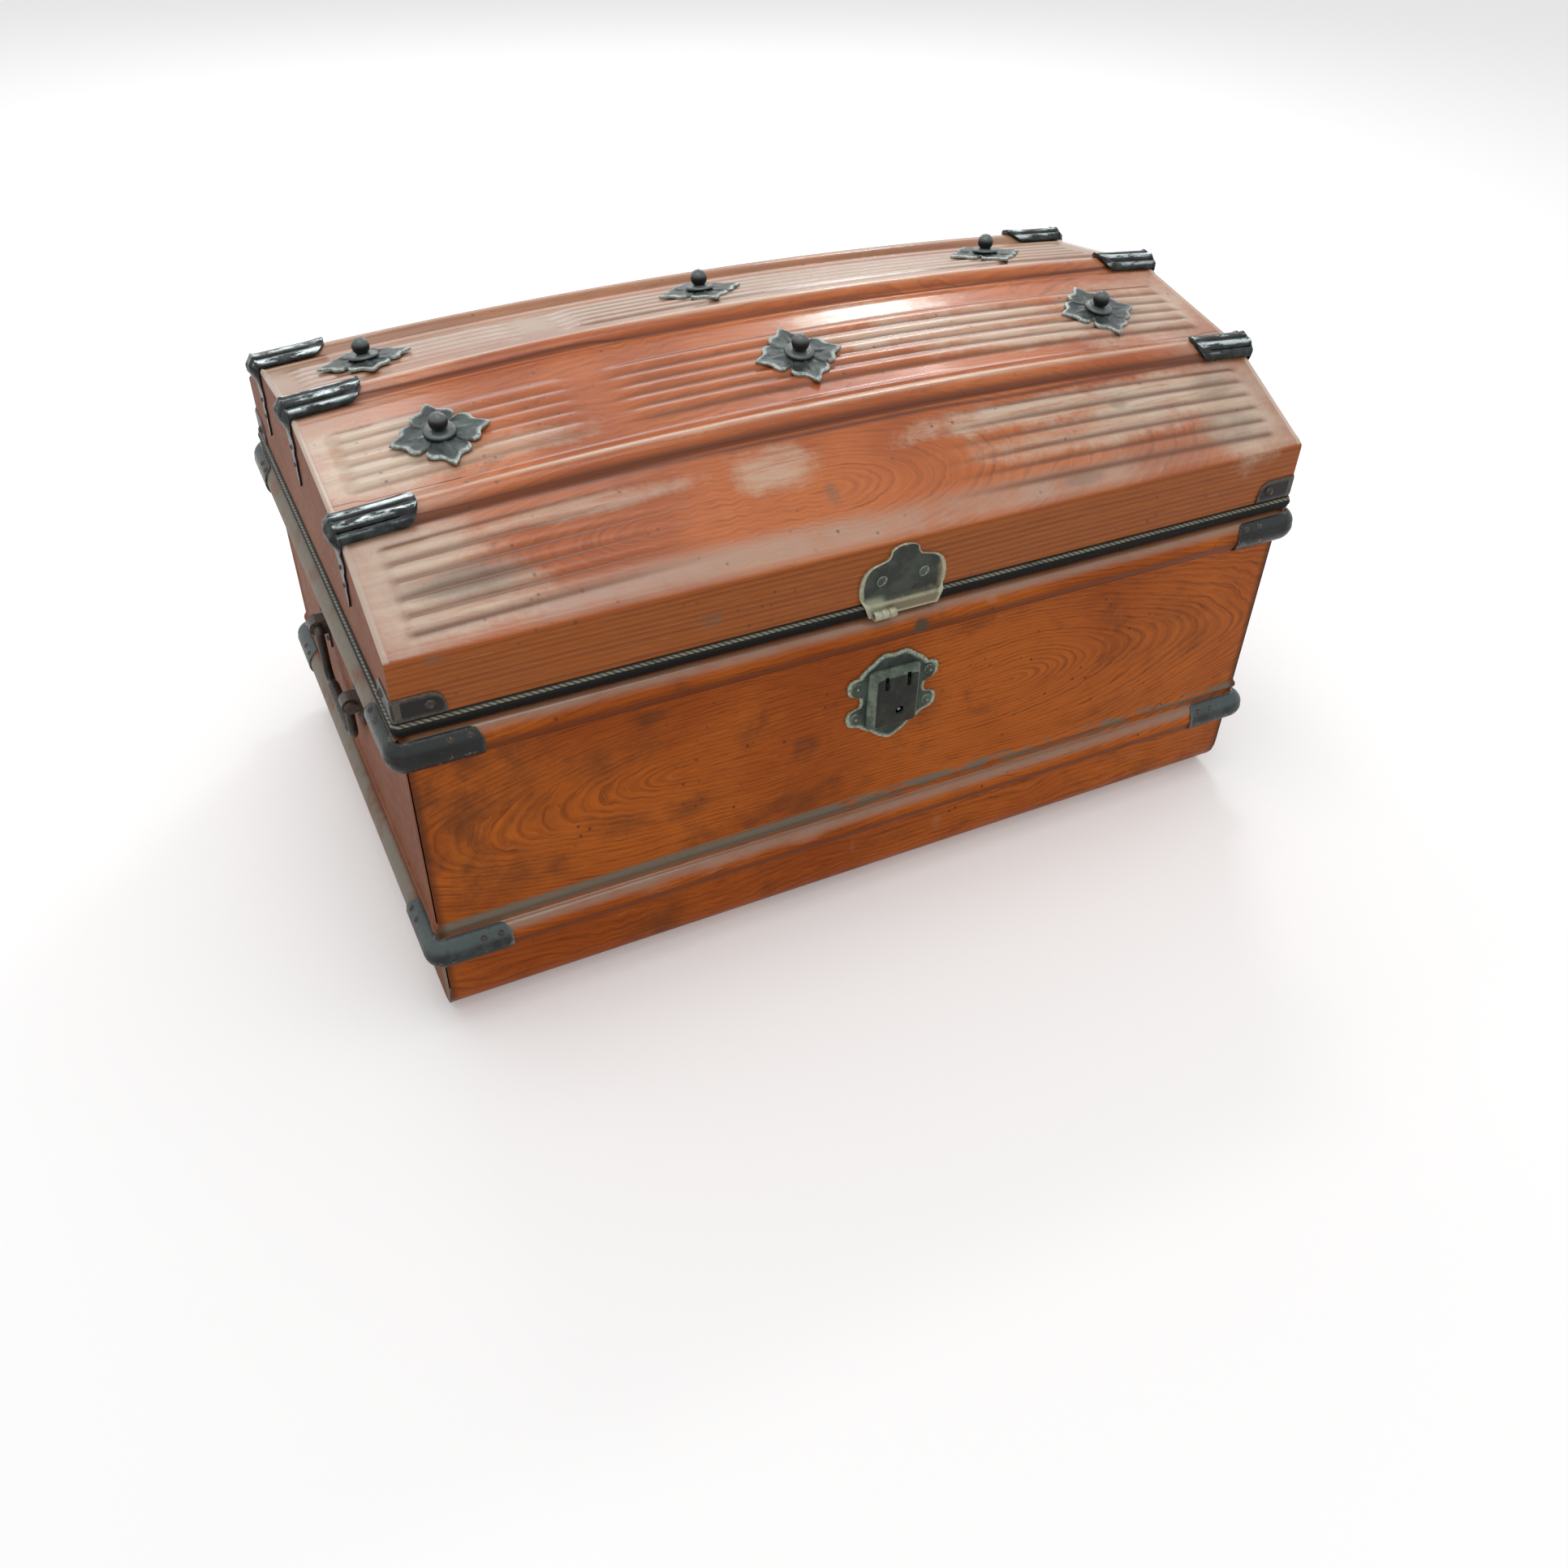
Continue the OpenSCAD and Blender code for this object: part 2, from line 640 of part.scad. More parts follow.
// Corners of the front half's cross-section at x: fold, slat line, crest line
function corner(x, i) =
  i == 0 ? [-lid_d / 2, fold_z] : i == 1 ? [-slat_y, slat_z(x)] : [0, crest_z(x)];

function unit(v) = v / norm(v);
function outward(v) = [v[1], -v[0]];     // square to a direction that runs down to the front

// Direction of slope i (1 outer, 2 inner), down to the front
function slope_dir(x, i) = unit(corner(x, i - 1) - corner(x, i));

// A point on slope i: s down from its upper line, out of the sheet by n
function slope_pt(x, i, s, n) =
  corner(x, i) + slope_dir(x, i) * s + outward(slope_dir(x, i)) * n;

// 1 inside a reeded stretch, 0 outside
function reeded(x, i) =
  let (a = abs(x), last = lid_l / 2 - end_plain)
  a > last ? 0
  : i == 1 ? (a > outer_plain / 2 ? 1 : 0)
  : a < inner_group / 2 || a > inner_group / 2 + inner_plain ? 1 : 0;

flutes = 5;

// The reeding across slope i, from its low end up
function reeding(x, i) =
  let (mid = i == 1 ? outer_flute_at : inner_flute_at)
  [for (j = [0:2 * flutes])
    slope_pt(x, i, mid + (flutes - j) * flute_pitch / 2,
      j % 2 == 1 ? flute_out * reeded(x, i) : 0)];

// Direction out of the sheet between the slopes that meet at line i
function line_out(x, i) =
  i == 2 ? [0, 1] : unit(outward(slope_dir(x, 1)) + outward(slope_dir(x, 2)));

// Half the angle by which the sheet turns at line i
function line_turn(x, i) =
  i == 2 ? acos(-slope_dir(x, 2)[0]) : acos(min(1, slope_dir(x, 1) * slope_dir(x, 2))) / 2;

// The slat bead at line i, from low to high, moved out of the sheet by skin
function slat_bead(x, i, skin, steps, from, to) =
  let (
    r = arc_r(slat_w, slat_out), up = line_out(x, i), along = [up[1], -up[0]],
    sink = slat_w / 2 * tan(line_turn(x, i)),
    mid = corner(x, i) + up * (slat_out - r - sink))
  [for (k = [0:steps])
    let (a = from + (to - from) * k / steps) mid + (up * cos(a) + along * sin(a)) * (r + skin)];

slat_half = arc_half(slat_w, slat_out);
slat_r = arc_r(slat_w, slat_out);
slat_in = acos((slat_r - slat_out - sheet_t) / (slat_r - sheet_t));

// Outer and inner sides of the sheet's front half at x
function roof_outer(x) = concat(
  [[-lid_d / 2, lid_z], [-lid_d / 2, fold_z]],
  reeding(x, 1), slat_bead(x, 1, 0, 6, -slat_half, slat_half),
  reeding(x, 2), slat_bead(x, 2, 0, 3, -slat_half, 0));

// Height of the sheet's inner face under slope i at depth y
function under(x, i, y) =
  let (d = slope_dir(x, i), c = corner(x, i)) c[1] + (y - c[0]) * d[1] / d[0] - sheet_t / -d[0];

function roof_inner(x) = concat(
  [[-lid_d / 2 + sheet_t, lid_z], [-lid_d / 2 + sheet_t, under(x, 1, -lid_d / 2 + sheet_t)]],
  slat_bead(x, 1, -sheet_t, 4, -slat_in, slat_in),
  slat_bead(x, 2, -sheet_t, 2, -slat_in, 0));

// Front half and back half joined into one closed loop
function mirrored(half) = [for (i = [len(half) - 2:-1:0]) [-half[i][0], half[i][1]]];
function roof_loop(x) = concat(
  roof_outer(x), mirrored(roof_outer(x)), reversed(concat(roof_inner(x), mirrored(roof_inner(x)))));

stations = 12;                           // steps from the middle to an end
outer_half = len(roof_outer(0)) - 1;     // index of the crest in the outer and the inner path
inner_half = len(roof_inner(0)) - 1;

// The inner point that lies under outer point k: band, slope, slat bead, slope, crest bead
function under_half(k) =
  let (bead = 2 + 2 * flutes + 1, crest = bead + 7 + 2 * flutes + 1)
  k == 0 ? 0 : k < bead ? 1 : k < bead + 7 ? 2 + round((k - bead) * 4 / 6)
  : k < crest ? 6 : 7 + round((k - crest) * 2 / 3);
function under_point(k) =
  k <= outer_half ? under_half(k) : 2 * inner_half - under_half(2 * outer_half - k);

module lid_top() {
  loops = [for (i = [-stations:stations]) let (x = i / stations * lid_l / 2)
    [for (p = roof_loop(x)) [x, p[0], p[1]]]];
  n = len(loops[0]);
  last = 2 * stations;
  points = [for (loop = loops) for (p = loop) p];
  sides = [for (s = [0:last - 1], k = [0:n - 1]) let (a = s * n + k, b = s * n + (k + 1) % n)
    each [[a, b, b + n], [a, b + n, a + n]]];
  // each end is a ladder of triangles between the outer and the inner path
  ladder = [for (k = [0:2 * outer_half - 1])
    let (p = n - 1 - under_point(k), q = n - 1 - under_point(k + 1))
    each concat([[k, k + 1, p]], p == q ? [] : [[k + 1, q, p]])];
  low_end = [for (f = ladder) reversed(f)];
  high_end = [for (f = ladder) f + last * n * [1, 1, 1]];
  color(grained) polyhedron(points = points, faces = concat(sides, low_end, high_end),
    convexity = 6);
}

// The flat end panel lies inside the sheet's edge
module lid_end(side) {
  x = lid_l / 2;
  half = [
    [-lid_d / 2 + sheet_t, lid_z],
    [-lid_d / 2 + sheet_t, under(x, 1, -lid_d / 2 + sheet_t) - seat_fit],
    [-slat_y, under(x, 1, -slat_y) - seat_fit], [0, under(x, 2, 0) - seat_fit]];
  color(end_paint) at_side(side, -1) translate([x - sheet_t / 2, 0, 0]) along_x(sheet_t)
    polygon(concat(half, mirrored(half)));
}

module lid_lip() {
  color(worn_steel)
    frame_of(whole_bead(lid_z + lip_h / 2, lip_h, lip_out, 0, 8), lid_l, lid_d, 1);
}

// ---------- lid corner brackets ----------

rivet_back = 20;                         // from the corner to a bracket's rivet

module bracket_arm() {
  z = lip_top + seat_fit;
  r = bracket_h * 0.55;
  translate([0, -seat_fit, 0]) rotate([90, 0, 0]) linear_extrude(height = clasp_t)
    polygon(concat([[seat_fit, z]], [[-bracket_l, z]],
      reversed(arc(-bracket_l + r, z + bracket_h - r, r, 90, 180, 5)),
      [[seat_fit, z + bracket_h]]));
}

module lid_bracket(side, face) {
  color(japan) at_side(side, face) translate([lid_l / 2, -lid_d / 2, 0]) {
    bracket_arm();
    mirror([1, 1, 0]) bracket_arm();
    translate([seat_fit - 0.01, -seat_fit - clasp_t, lip_top + seat_fit])
      cube([clasp_t + 0.01, clasp_t + 0.01, bracket_h]);
  }
}

module lid_bracket_rivets() {
  color(japan) for (side = [-1, 1], face = [-1, 1], arm = [0, 1])
    at_side(side, face) translate([lid_l / 2, -lid_d / 2, 0]) mirror([arm, arm, 0])
      translate([-rivet_back, -seat_fit - clasp_t, lip_top + bracket_h / 2]) rotate([90, 0, 0])
        dome(3.2, 2.4);
}

// ---------- slat caps ----------

// Line 1 is the front slat, 2 the crest
function cap_turn(i) = i == 2 ? 0 : atan2(-line_out(lid_l / 2, 1)[0], line_out(lid_l / 2, 1)[1]);

// Slope of line i from the lid's end to the cap's inner end
function cap_slope(i) =
  (corner(lid_l / 2 - cap_l, i)[1] - corner(lid_l / 2, i)[1]) / cap_l;

cap_half = 74;                           // half the angle that a cap covers on its bead
cap_ribs = 4;
cap_in = slat_r + seat_fit + 0.15;       // inner radius of a cap
cap_edge = cap_in * cos(cap_half);
cap_bulge = cap_in + clasp_t + cap_groove - cap_edge;

// Half the tongue's width at t, its share of the length, as a share of its full half width
function tongue_half(t) = tongue_w / 2
  * lookup(t, [[0, 1], [0.25, 0.62], [0.38, 0.85], [0.5, 0.42], [0.75, 0.28], [1, 0.04]]);

// The cap is one sheet: along its bead (u 0 to 1), over the lid's end (1 to 2) and down the
// lid's end as a tongue (2 to 3). v runs across it from -1 to 1. Skin 0 is its inner side and
// 1 its outer side. Gives [x inwards, y, z] from where line i meets the lid's end.
function cap_point(i, u, v, skin) =
  let (
    x = max(0, 1 - u) * cap_l,
    tip = max(0, (x - cap_l + 12) / 12),
    a = v * cap_half * sqrt(max(0.05, 1 - tip * tip)),
    rib = abs(sin(90 * cap_ribs * (a / cap_half + 1))),
    r = cap_in + skin * (clasp_t + cap_groove * rib * (1 - tip)),
    rise = r * cos(a) - cap_edge,
    base = slat_out - slat_r - slat_w / 2 * tan(line_turn(lid_l / 2, i)) + cap_edge,
    over = 90 * min(1, max(0, u - 1)),
    t = max(0, u - 2),
    full = pow(max(0, 1 - t / 0.35), 2),
    out = cap_out / cap_bulge * rise * sin(over) * full + skin * clasp_t * (1 - full),
    y = sin(a) / sin(cap_half)
      * (r * sin(cap_half) + (tongue_half(t) - r * sin(cap_half)) * min(1, t / 0.2)),
    z = base + rise * cos(over) - t * tongue_l,
    turn = cap_turn(i) * max(0, 1 - t / 0.3))
  [x - seat_fit - out, y * cos(turn) - z * sin(turn),
    y * sin(turn) + z * cos(turn) + max(0, x) * cap_slope(i)];

cap_steps = [0, 0.04, 0.1, 0.18, 0.27, 0.6, 1, 1.25, 1.5, 1.75, 2, 2.12, 2.25, 2.38, 2.5, 2.75, 3];
cap_across = 3 * cap_ribs;

module slat_cap(side, face, i) {
  n = 2 * (cap_across + 1);
  last = len(cap_steps) - 1;
  points = [for (u = cap_steps) each concat(
    [for (k = [0:cap_across]) cap_point(i, u, 2 * k / cap_across - 1, 1)],
    [for (k = [cap_across:-1:0]) cap_point(i, u, 2 * k / cap_across - 1, 0)])];
  sides = [for (s = [0:last - 1], k = [0:n - 1]) let (a = s * n + k, b = s * n + (k + 1) % n)
    each [[a, b + n, b], [a, a + n, b + n]]];
  strips = [for (s = [0, last], k = [0:cap_across - 1])
    let (a = s * n + k, b = s * n + n - 1 - k)
    s == 0 ? [a, a + 1, b - 1, b] : [a, b, b - 1, a + 1]];
  color(japan) at_side(side, face)
    translate([lid_l / 2, corner(lid_l / 2, i)[0], corner(lid_l / 2, i)[1]]) mirror([1, 0, 0])
      polyhedron(points = points, faces = concat(sides, strips), convexity = 6);
}

module slat_cap_nails() {
  color(japan) for (side = [-1, 1], y = [-slat_y, 0, slat_y], down = [0.47, 0.72])
    at_side(side, -1) translate([lid_l / 2 + seat_fit + clasp_t, y,
      corner(lid_l / 2, y == 0 ? 2 : 1)[1] - down * tongue_l])
        rotate([0, 90, 0]) dome(1.7, 1);
}

// ---------- bosses ----------

// Stands local Z out of an inner slope, on top of the ridges; x along the lid
module on_slope(x, face) {
  y = face * inner_flute_at * cos(atan((crest_rise - slat_rise) / slat_y));
  fall = (crest_z(x) - slat_z(x)) / slat_y;
  z = crest_z(x) - fall * abs(y);
  share = 1 - abs(y) / slat_y;
  rise_x = -8 * x / lid_l / lid_l * (slat_crown + (crest_crown - slat_crown) * share);
  size = sqrt(1 + rise_x * rise_x + fall * fall);
  tilt_x = asin(-face * fall / size);
  tilt_y = -asin(rise_x / size / cos(tilt_x));
  translate([x, y, z]) rotate([tilt_x, tilt_y, 0])
    translate([0, 0, flute_out + 2 * seat_fit]) children();
}

// One arm of the leaf-shaped plate: a notch, two side lobes and a point
arm = [[0.33, -0.33], [0.45, -0.39], [0.53, -0.44], [0.64, -0.41], [0.70, -0.33], [0.72, -0.22],
  [0.78, -0.15], [0.89, -0.09], [1, 0],
  [0.89, 0.09], [0.78, 0.15], [0.72, 0.22], [0.70, 0.33], [0.64, 0.41], [0.53, 0.44],
  [0.45, 0.39]];

// Sideways place of a boss: column -1 is left, 0 the middle, 1 right
function boss_x(column, face) =
  column * boss_gap + (face < 0 ? boss_front_shift : boss_back_shift);

module boss_plate(column, face) {
  color(patina) on_slope(boss_x(column, face), face) linear_extrude(height = boss_t)
    polygon([for (quarter = [0:3], p = arm) let (a = 90 * quarter)
      boss_r * [p[0] * cos(a) - p[1] * sin(a), p[0] * sin(a) + p[1] * cos(a)]]);
}

// A stud: foot ring, waist and ball
module boss_stud() {
  neck = stud_r * 0.72;
  cylinder(r = stud_r * 1.35, h = 2.4);
  cylinder(r = neck, h = stud_h - stud_r);
  translate([0, 0, stud_h - stud_r]) sphere(r = stud_r);
}

module boss_studs() {
  color(patina) for (column = [-1:1], face = [-1, 1])
    on_slope(boss_x(column, face), face) translate([0, 0, boss_t]) boss_stud();
}

// ---------- hasp plate ----------

hasp_half = 30;                          // half the plate's width

// An ogee top, rounded shoulders, and a foot as wide as the lip needs
module hasp_outline() {
  top = fold_z - 2;
  polygon([
    [0, top], [4, top - 0.6], [7, top - 3], [10, top - 6.5], [14, top - 8.5], [20, top - 10.5],
    [25, top - 14], [28.5, top - 19], [hasp_half, top - 25], [29.5, top - 31], [27, top - 37],
    [24, lid_z + 1],
    [-24, lid_z + 1], [-27, top - 37], [-29.5, top - 31], [-hasp_half, top - 25],
    [-28.5, top - 19], [-25, top - 14], [-20, top - 10.5], [-14, top - 8.5], [-10, top - 6.5],
    [-7, top - 3], [-4, top - 0.6]]);
}

hasp_face = lid_over + seat_fit;         // how far the plate's back stands out from the body
hasp_bulge = lid_over + lip_out + hasp_over;

module hasp_plate() {
  eye_out = hasp_bulge + lock_t + 1.6;
  eye_z = lid_z + 3;
  color(patina) translate([lock_x, -body_d / 2, 0]) {
    intersection() {
      mirror([0, 1, 0]) along_x(2 * hasp_half + 2) polygon([
        [hasp_face, fold_z], [hasp_face, lip_top + 2.2], [hasp_bulge, lip_top - 0.4],
        [hasp_bulge, lid_z], [hasp_bulge + lock_t, lid_z], [hasp_bulge + lock_t, lip_top],
        [hasp_face + lock_t, lip_top + 2.8], [hasp_face + lock_t, fold_z]]);
      along_y(2 * reach) hasp_outline();
    }
    // what is left of the hinge eye along the plate's foot
    translate([-22, -eye_out, eye_z]) rotate([0, 90, 0]) difference() {
      cylinder(r = 3.2, h = 15);
      translate([0, 0, -1]) cylinder(r = 1.6, h = 17);
    }
  }
}

module hasp_rivets() {
  color(patina) for (side = [-1, 1])
    on_front(lock_x + side * 14.5, hasp_face + lock_t, fold_z - 24.5) dome(3.6, 2.2);
}

// ---------- assembly ----------

body_wrapper();
end_panel(-1);  // left_end_panel
end_panel(1);  // right_end_panel
body_rim();
upper_clasp(-1, -1);  // upper_clasp_front_left
upper_clasp(1, -1);  // upper_clasp_front_right
upper_clasp(-1, 1);  // upper_clasp_back_left
upper_clasp(1, 1);  // upper_clasp_back_right
lower_clasp(-1, -1);  // lower_clasp_front_left
lower_clasp(1, -1);  // lower_clasp_front_right
lower_clasp(-1, 1);  // lower_clasp_back_left
lower_clasp(1, 1);  // lower_clasp_back_right
color(japan) clasp_nails(top_bead_z, top_bead_h, nail_slope);  // upper_clasp_nails
color(japan) clasp_nails(low_bead_z, low_bead_h, nail_slope);  // lower_clasp_nails
lock_plate();
lock_case();
lock_bolt();
lock_spring();
key_post();
lock_rivets();
handle_ears(-1);  // left_handle_ears
handle_ears(1);  // right_handle_ears
handle(-1);  // left_handle
handle(1);  // right_handle
handle_rivets();
hinge_base_leaf(-1);  // left_hinge_base_leaf
hinge_base_leaf(1);  // right_hinge_base_leaf
hinge_pin(-1);  // left_hinge_pin
hinge_pin(1);  // right_hinge_pin
hinge_base_rivets();
lid_top();
lid_end(-1);  // lid_left_end
lid_end(1);  // lid_right_end
lid_lip();
lid_bracket(-1, -1);  // lid_bracket_front_left
lid_bracket(1, -1);  // lid_bracket_front_right
lid_bracket(-1, 1);  // lid_bracket_back_left
lid_bracket(1, 1);  // lid_bracket_back_right
lid_bracket_rivets();
slat_cap(-1, -1, 1);  // slat_cap_front_left
slat_cap(1, -1, 1);  // slat_cap_front_right
slat_cap(-1, -1, 2);  // slat_cap_crest_left
slat_cap(1, -1, 2);  // slat_cap_crest_right
slat_cap(-1, 1, 1);  // slat_cap_back_left
slat_cap(1, 1, 1);  // slat_cap_back_right
slat_cap_nails();
boss_plate(-1, -1);  // boss_plate_front_left
boss_plate(0, -1);  // boss_plate_front_middle
boss_plate(1, -1);  // boss_plate_front_right
boss_plate(-1, 1);  // boss_plate_back_left
boss_plate(0, 1);  // boss_plate_back_middle
boss_plate(1, 1);  // boss_plate_back_right
boss_studs();
hasp_plate();
hasp_rivets();
hinge_lid_leaf(-1);  // left_hinge_lid_leaf
hinge_lid_leaf(1);  // right_hinge_lid_leaf
hinge_lid_rivets();
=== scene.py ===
import math

import bpy
import numpy as np
from mathutils import Matrix, Vector


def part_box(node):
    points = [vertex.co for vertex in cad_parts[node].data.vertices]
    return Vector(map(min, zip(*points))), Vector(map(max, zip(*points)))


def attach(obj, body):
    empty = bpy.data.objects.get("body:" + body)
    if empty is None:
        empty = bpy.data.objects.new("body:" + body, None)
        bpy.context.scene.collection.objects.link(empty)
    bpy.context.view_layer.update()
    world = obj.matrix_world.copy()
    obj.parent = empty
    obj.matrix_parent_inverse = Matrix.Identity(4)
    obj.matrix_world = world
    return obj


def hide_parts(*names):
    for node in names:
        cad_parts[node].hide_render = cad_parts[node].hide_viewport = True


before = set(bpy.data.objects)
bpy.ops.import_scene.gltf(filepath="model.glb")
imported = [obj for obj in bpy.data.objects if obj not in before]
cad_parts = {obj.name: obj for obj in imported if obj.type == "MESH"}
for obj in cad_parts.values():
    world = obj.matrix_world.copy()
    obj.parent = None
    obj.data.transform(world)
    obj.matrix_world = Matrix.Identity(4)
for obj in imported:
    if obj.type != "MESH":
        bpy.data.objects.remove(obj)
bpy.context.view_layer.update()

# ---------------------------------------------------------------------------
# Sizes, in millimetres. The main ones come from the frame.
# ---------------------------------------------------------------------------

MM = 0.001


def span(node):
    """Lowest and highest corner of a CAD node, in millimetres."""
    low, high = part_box(node)
    return np.array(low) / MM, np.array(high) / MM


LID_LOW, LID_HIGH = span("lid_top")
LIP_LOW, LIP_HIGH = span("lid_lip")
LID_L, LID_D = (LID_HIGH - LID_LOW)[:2]
LID_Z = LID_LOW[2]
LIP_H = LIP_HIGH[2] - LIP_LOW[2]
LIP_OUT = (LIP_HIGH[0] - LIP_LOW[0] - LID_L) / 2
LIP_TOP = LID_Z + LIP_H
LID_OVER = 1.4
BODY_L = LID_L - 2 * LID_OVER
BODY_D = LID_D - 2 * LID_OVER
BODY_H = span("body_wrapper")[1][2]
SHEET = 0.8
BEND_R = 26.0
# the sheets' edges follow a bead outwards by no more than this
EDGE_FOLLOW = 1.2
PATH_STEP = 1.3

# the beads pressed round the body's walls, and the ridge between them
BEAD_OUT = 9.5
TOP_BEAD_H, TOP_BEAD_Z = 22.0, BODY_H - 11
LOW_BEAD_H, LOW_BEAD_Z = 20.0, 64.0
RIDGE_H, RIDGE_OUT, RIDGE_Z = 6.0, 2.4, 81.0

# the lid's skirt ends in a fold; slats run along its slopes' upper edges, and flutes between
FOLD_Z = LID_Z + 47.4
SKIRT_POINTS = 34
SLAT_Y, SLAT_RISE, SLAT_CROWN = 113.0, 85.0, 13.0
CREST_RISE, CREST_CROWN = 103.7, 16.0
SLAT_W, SLAT_OUT = 18.0, 7.0
FLUTE_PITCH, FLUTE_OUT, FLUTES = 11.0, 2.0, 5
OUTER_FLUTE_AT, INNER_FLUTE_AT = 46.0, 60.0
# where along the lid the groups of flutes fade in and out
FLUTE_END_FADE = (284, 293)
OUTER_LEFT_FADE, OUTER_RIGHT_FADE = (-250, -90), (25, 120)
INNER_LEFT_FADE, INNER_RIGHT_FADE = (-165, -140), (-138, -100)

# the fittings lie on the sheets with this play
SEAT = 0.1
CLASP_L, CLASP_T = 43.0, 1.2
CLASP_TIP, SCALLOP_PITCH = 7.0, 9.0
BRACKET_L, BRACKET_H, BRACKET_TIP = 29.0, 15.0, 8.0
BOSS_R, BOSS_T = 30.0, 1.4
BOSS_GAP, BOSS_SHIFT = LID_L / 2 - 79, {-1: -5.0, 1: -20.0}
STUD_R, BALL_R, STUD_H = 6.2, 5.6, 12.6
LOCK_X, LOCK_Z = 2.5, 164.5
CASE_W, CASE_H, CASE_OUT, LOCK_T = 37.0, 45.0, 7.0, 1.2
CASE_FRONT = -span("lock_case")[0][1]
# from the middle of the lock
SLOT_X, SLOT_Z, SLOT_W, SLOT_H = 8.0, CASE_H / 2 - 8, 3.4, 10.0
KEYHOLE_X, KEYHOLE_Z, KEYHOLE_R = 2.5, -8.0, 3.1
HANDLE_Z, EAR_SPAN, EAR_HALF, PIVOT_OUT, HANDLE_DROP = 160.0, 96.0, 5.0, 7.5, 36.0

CORNERS = [(side, face) for face in (-1, 1) for side in (-1, 1)]


def corner_name(side, face):
    """side is -1 on the left and 1 on the right, face -1 at the front and 1 at the back."""
    return ("front" if face < 0 else "back") + ("_left" if side < 0 else "_right")


# ---------------------------------------------------------------------------
# Mesh helpers
# ---------------------------------------------------------------------------


def signed_volume(mesh):
    """Positive where a closed mesh's faces look outwards."""
    mesh.calc_loop_triangles()
    points = np.empty(len(mesh.vertices) * 3)
    mesh.vertices.foreach_get("co", points)
    corners = np.empty(len(mesh.loop_triangles) * 3, np.int32)
    mesh.loop_triangles.foreach_get("vertices", corners)
    a, b, c = points.reshape(-1, 3)[corners.reshape(-1, 3)].transpose(1, 0, 2)
    return float(np.einsum("ij,ij->i", a, np.cross(b, c)).sum())


def make_piece(name, points, faces, body, stands_for=(), slot=None, sharp=40):
    """A smooth-shaded mesh piece from points in millimetres, riding on a body."""
    mesh = bpy.data.meshes.new(name)
    mesh.from_pydata((np.asarray(points, float) * MM).tolist(), [], faces)
    mesh.validate()
    if signed_volume(mesh) < 0:
        mesh.flip_normals()
    mesh.shade_smooth()
    mesh.set_sharp_from_angle(angle=math.radians(sharp))
    normals = np.empty(len(mesh.vertices) * 3, np.float32)
    mesh.vertex_normals.foreach_get("vector", normals)
    mesh.attributes.new("facing", "FLOAT_VECTOR", "POINT").data.foreach_set("vector", normals)
    piece = bpy.data.objects.new(name, mesh)
    bpy.context.scene.collection.objects.link(piece)
    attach(piece, body)
    if stands_for:
        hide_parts(*stands_for)
    return piece


def grid_faces(rows, columns, start=0, ring=False, flip=False):
    """Quads of a rows x columns grid of points; ring joins the last row to the first."""
    faces = []
    for row in range(rows if ring else rows - 1):
        here, there = start + row * columns, start + (row + 1) % rows * columns
        for k in range(columns - 1):
            quad = [here + k, here + k + 1, there + k + 1, there + k]
            faces.append(quad[::-1] if flip else quad)
    return faces


def shell_faces(rows, columns, ring=False):
    """Faces of a thin closed shell: an outer grid, an inner grid and the edges between."""
    size = rows * columns
    outer = grid_faces(rows, columns, 0, ring)
    inner = grid_faces(rows, columns, size, ring, flip=True)
    rim = []
    for row in range(rows if ring else rows - 1):
        a, b = row * columns, (row + 1) % rows * columns
        rim.append([a, b, b + size, a + size])
        a, b = a + columns - 1, b + columns - 1
        rim.append([b, a, a + size, b + size])
    if not ring:
        for k in range(columns - 1):
            rim.append([k + 1, k, k + size, k + 1 + size])
            a = (rows - 1) * columns + k
            rim.append([a, a + 1, a + 1 + size, a + size])
    return outer, inner, rim


def shell(name, outer, inner, body, ring=False, **facts):
    """A sheet piece from two equal grids of points, shaped [rows, columns, 3]."""
    rows, columns = outer.shape[:2]
    points = np.concatenate([outer.reshape(-1, 3), inner.reshape(-1, 3)])
    groups = shell_faces(rows, columns, ring)
    faces = [f for group in groups for f in group]
    piece = make_piece(name, points, faces, body, **facts)
    piece["outer_faces"] = len(groups[0])
    return piece


def give_vectors(piece, name, values):
    """Stores a vector per point for the materials, the same on a shell's outer and inner grid."""
    attribute = piece.data.attributes.new(name, "FLOAT_VECTOR", "POINT")
    one = np.asarray(values, np.float32).ravel()
    attribute.data.foreach_set("vector", np.concatenate([one, one]))


def rounded(points, rounds):
    """Softens a polyline's corners, its ends held."""
    p = np.array(points, float)
    for _ in range(rounds):
        p[1:-1] = (p[:-2] + 2 * p[1:-1] + p[2:]) / 4
    return p


def path_lengths(points):
    """Length along a polyline up to each of its points."""
    steps = np.linalg.norm(np.diff(points, axis=0), axis=1)
    return np.concatenate([[0], np.cumsum(steps)])


def resampled(points, step):
    """The same polyline with points about step apart."""
    p = np.array(points, float)
    along = path_lengths(p)
    places = np.linspace(0, along[-1], max(2, round(along[-1] / step) + 1))
    return np.stack([np.interp(places, along, p[:, k]) for k in range(2)], axis=1)


def path_normals(points):
    """Unit normals to the left of a polyline."""
    d = np.gradient(points, axis=0)
    d /= np.linalg.norm(d, axis=1, keepdims=True)
    return np.stack([-d[:, 1], d[:, 0]], axis=1)


def smoothstep(low, high, value):
    t = np.clip((value - low) / (high - low), 0, 1)
    return t * t * (3 - 2 * t)


def hump(value, middle, width):
    """A smooth hump: 1 at its middle and next to nothing two widths off."""
    return np.exp(-(((value - middle) / width) ** 2))


def arc_radius(height, out):
    """Radius of the arc that stands out by out over a chord of height."""
    return (height * height / 4 + out * out) / (2 * out)


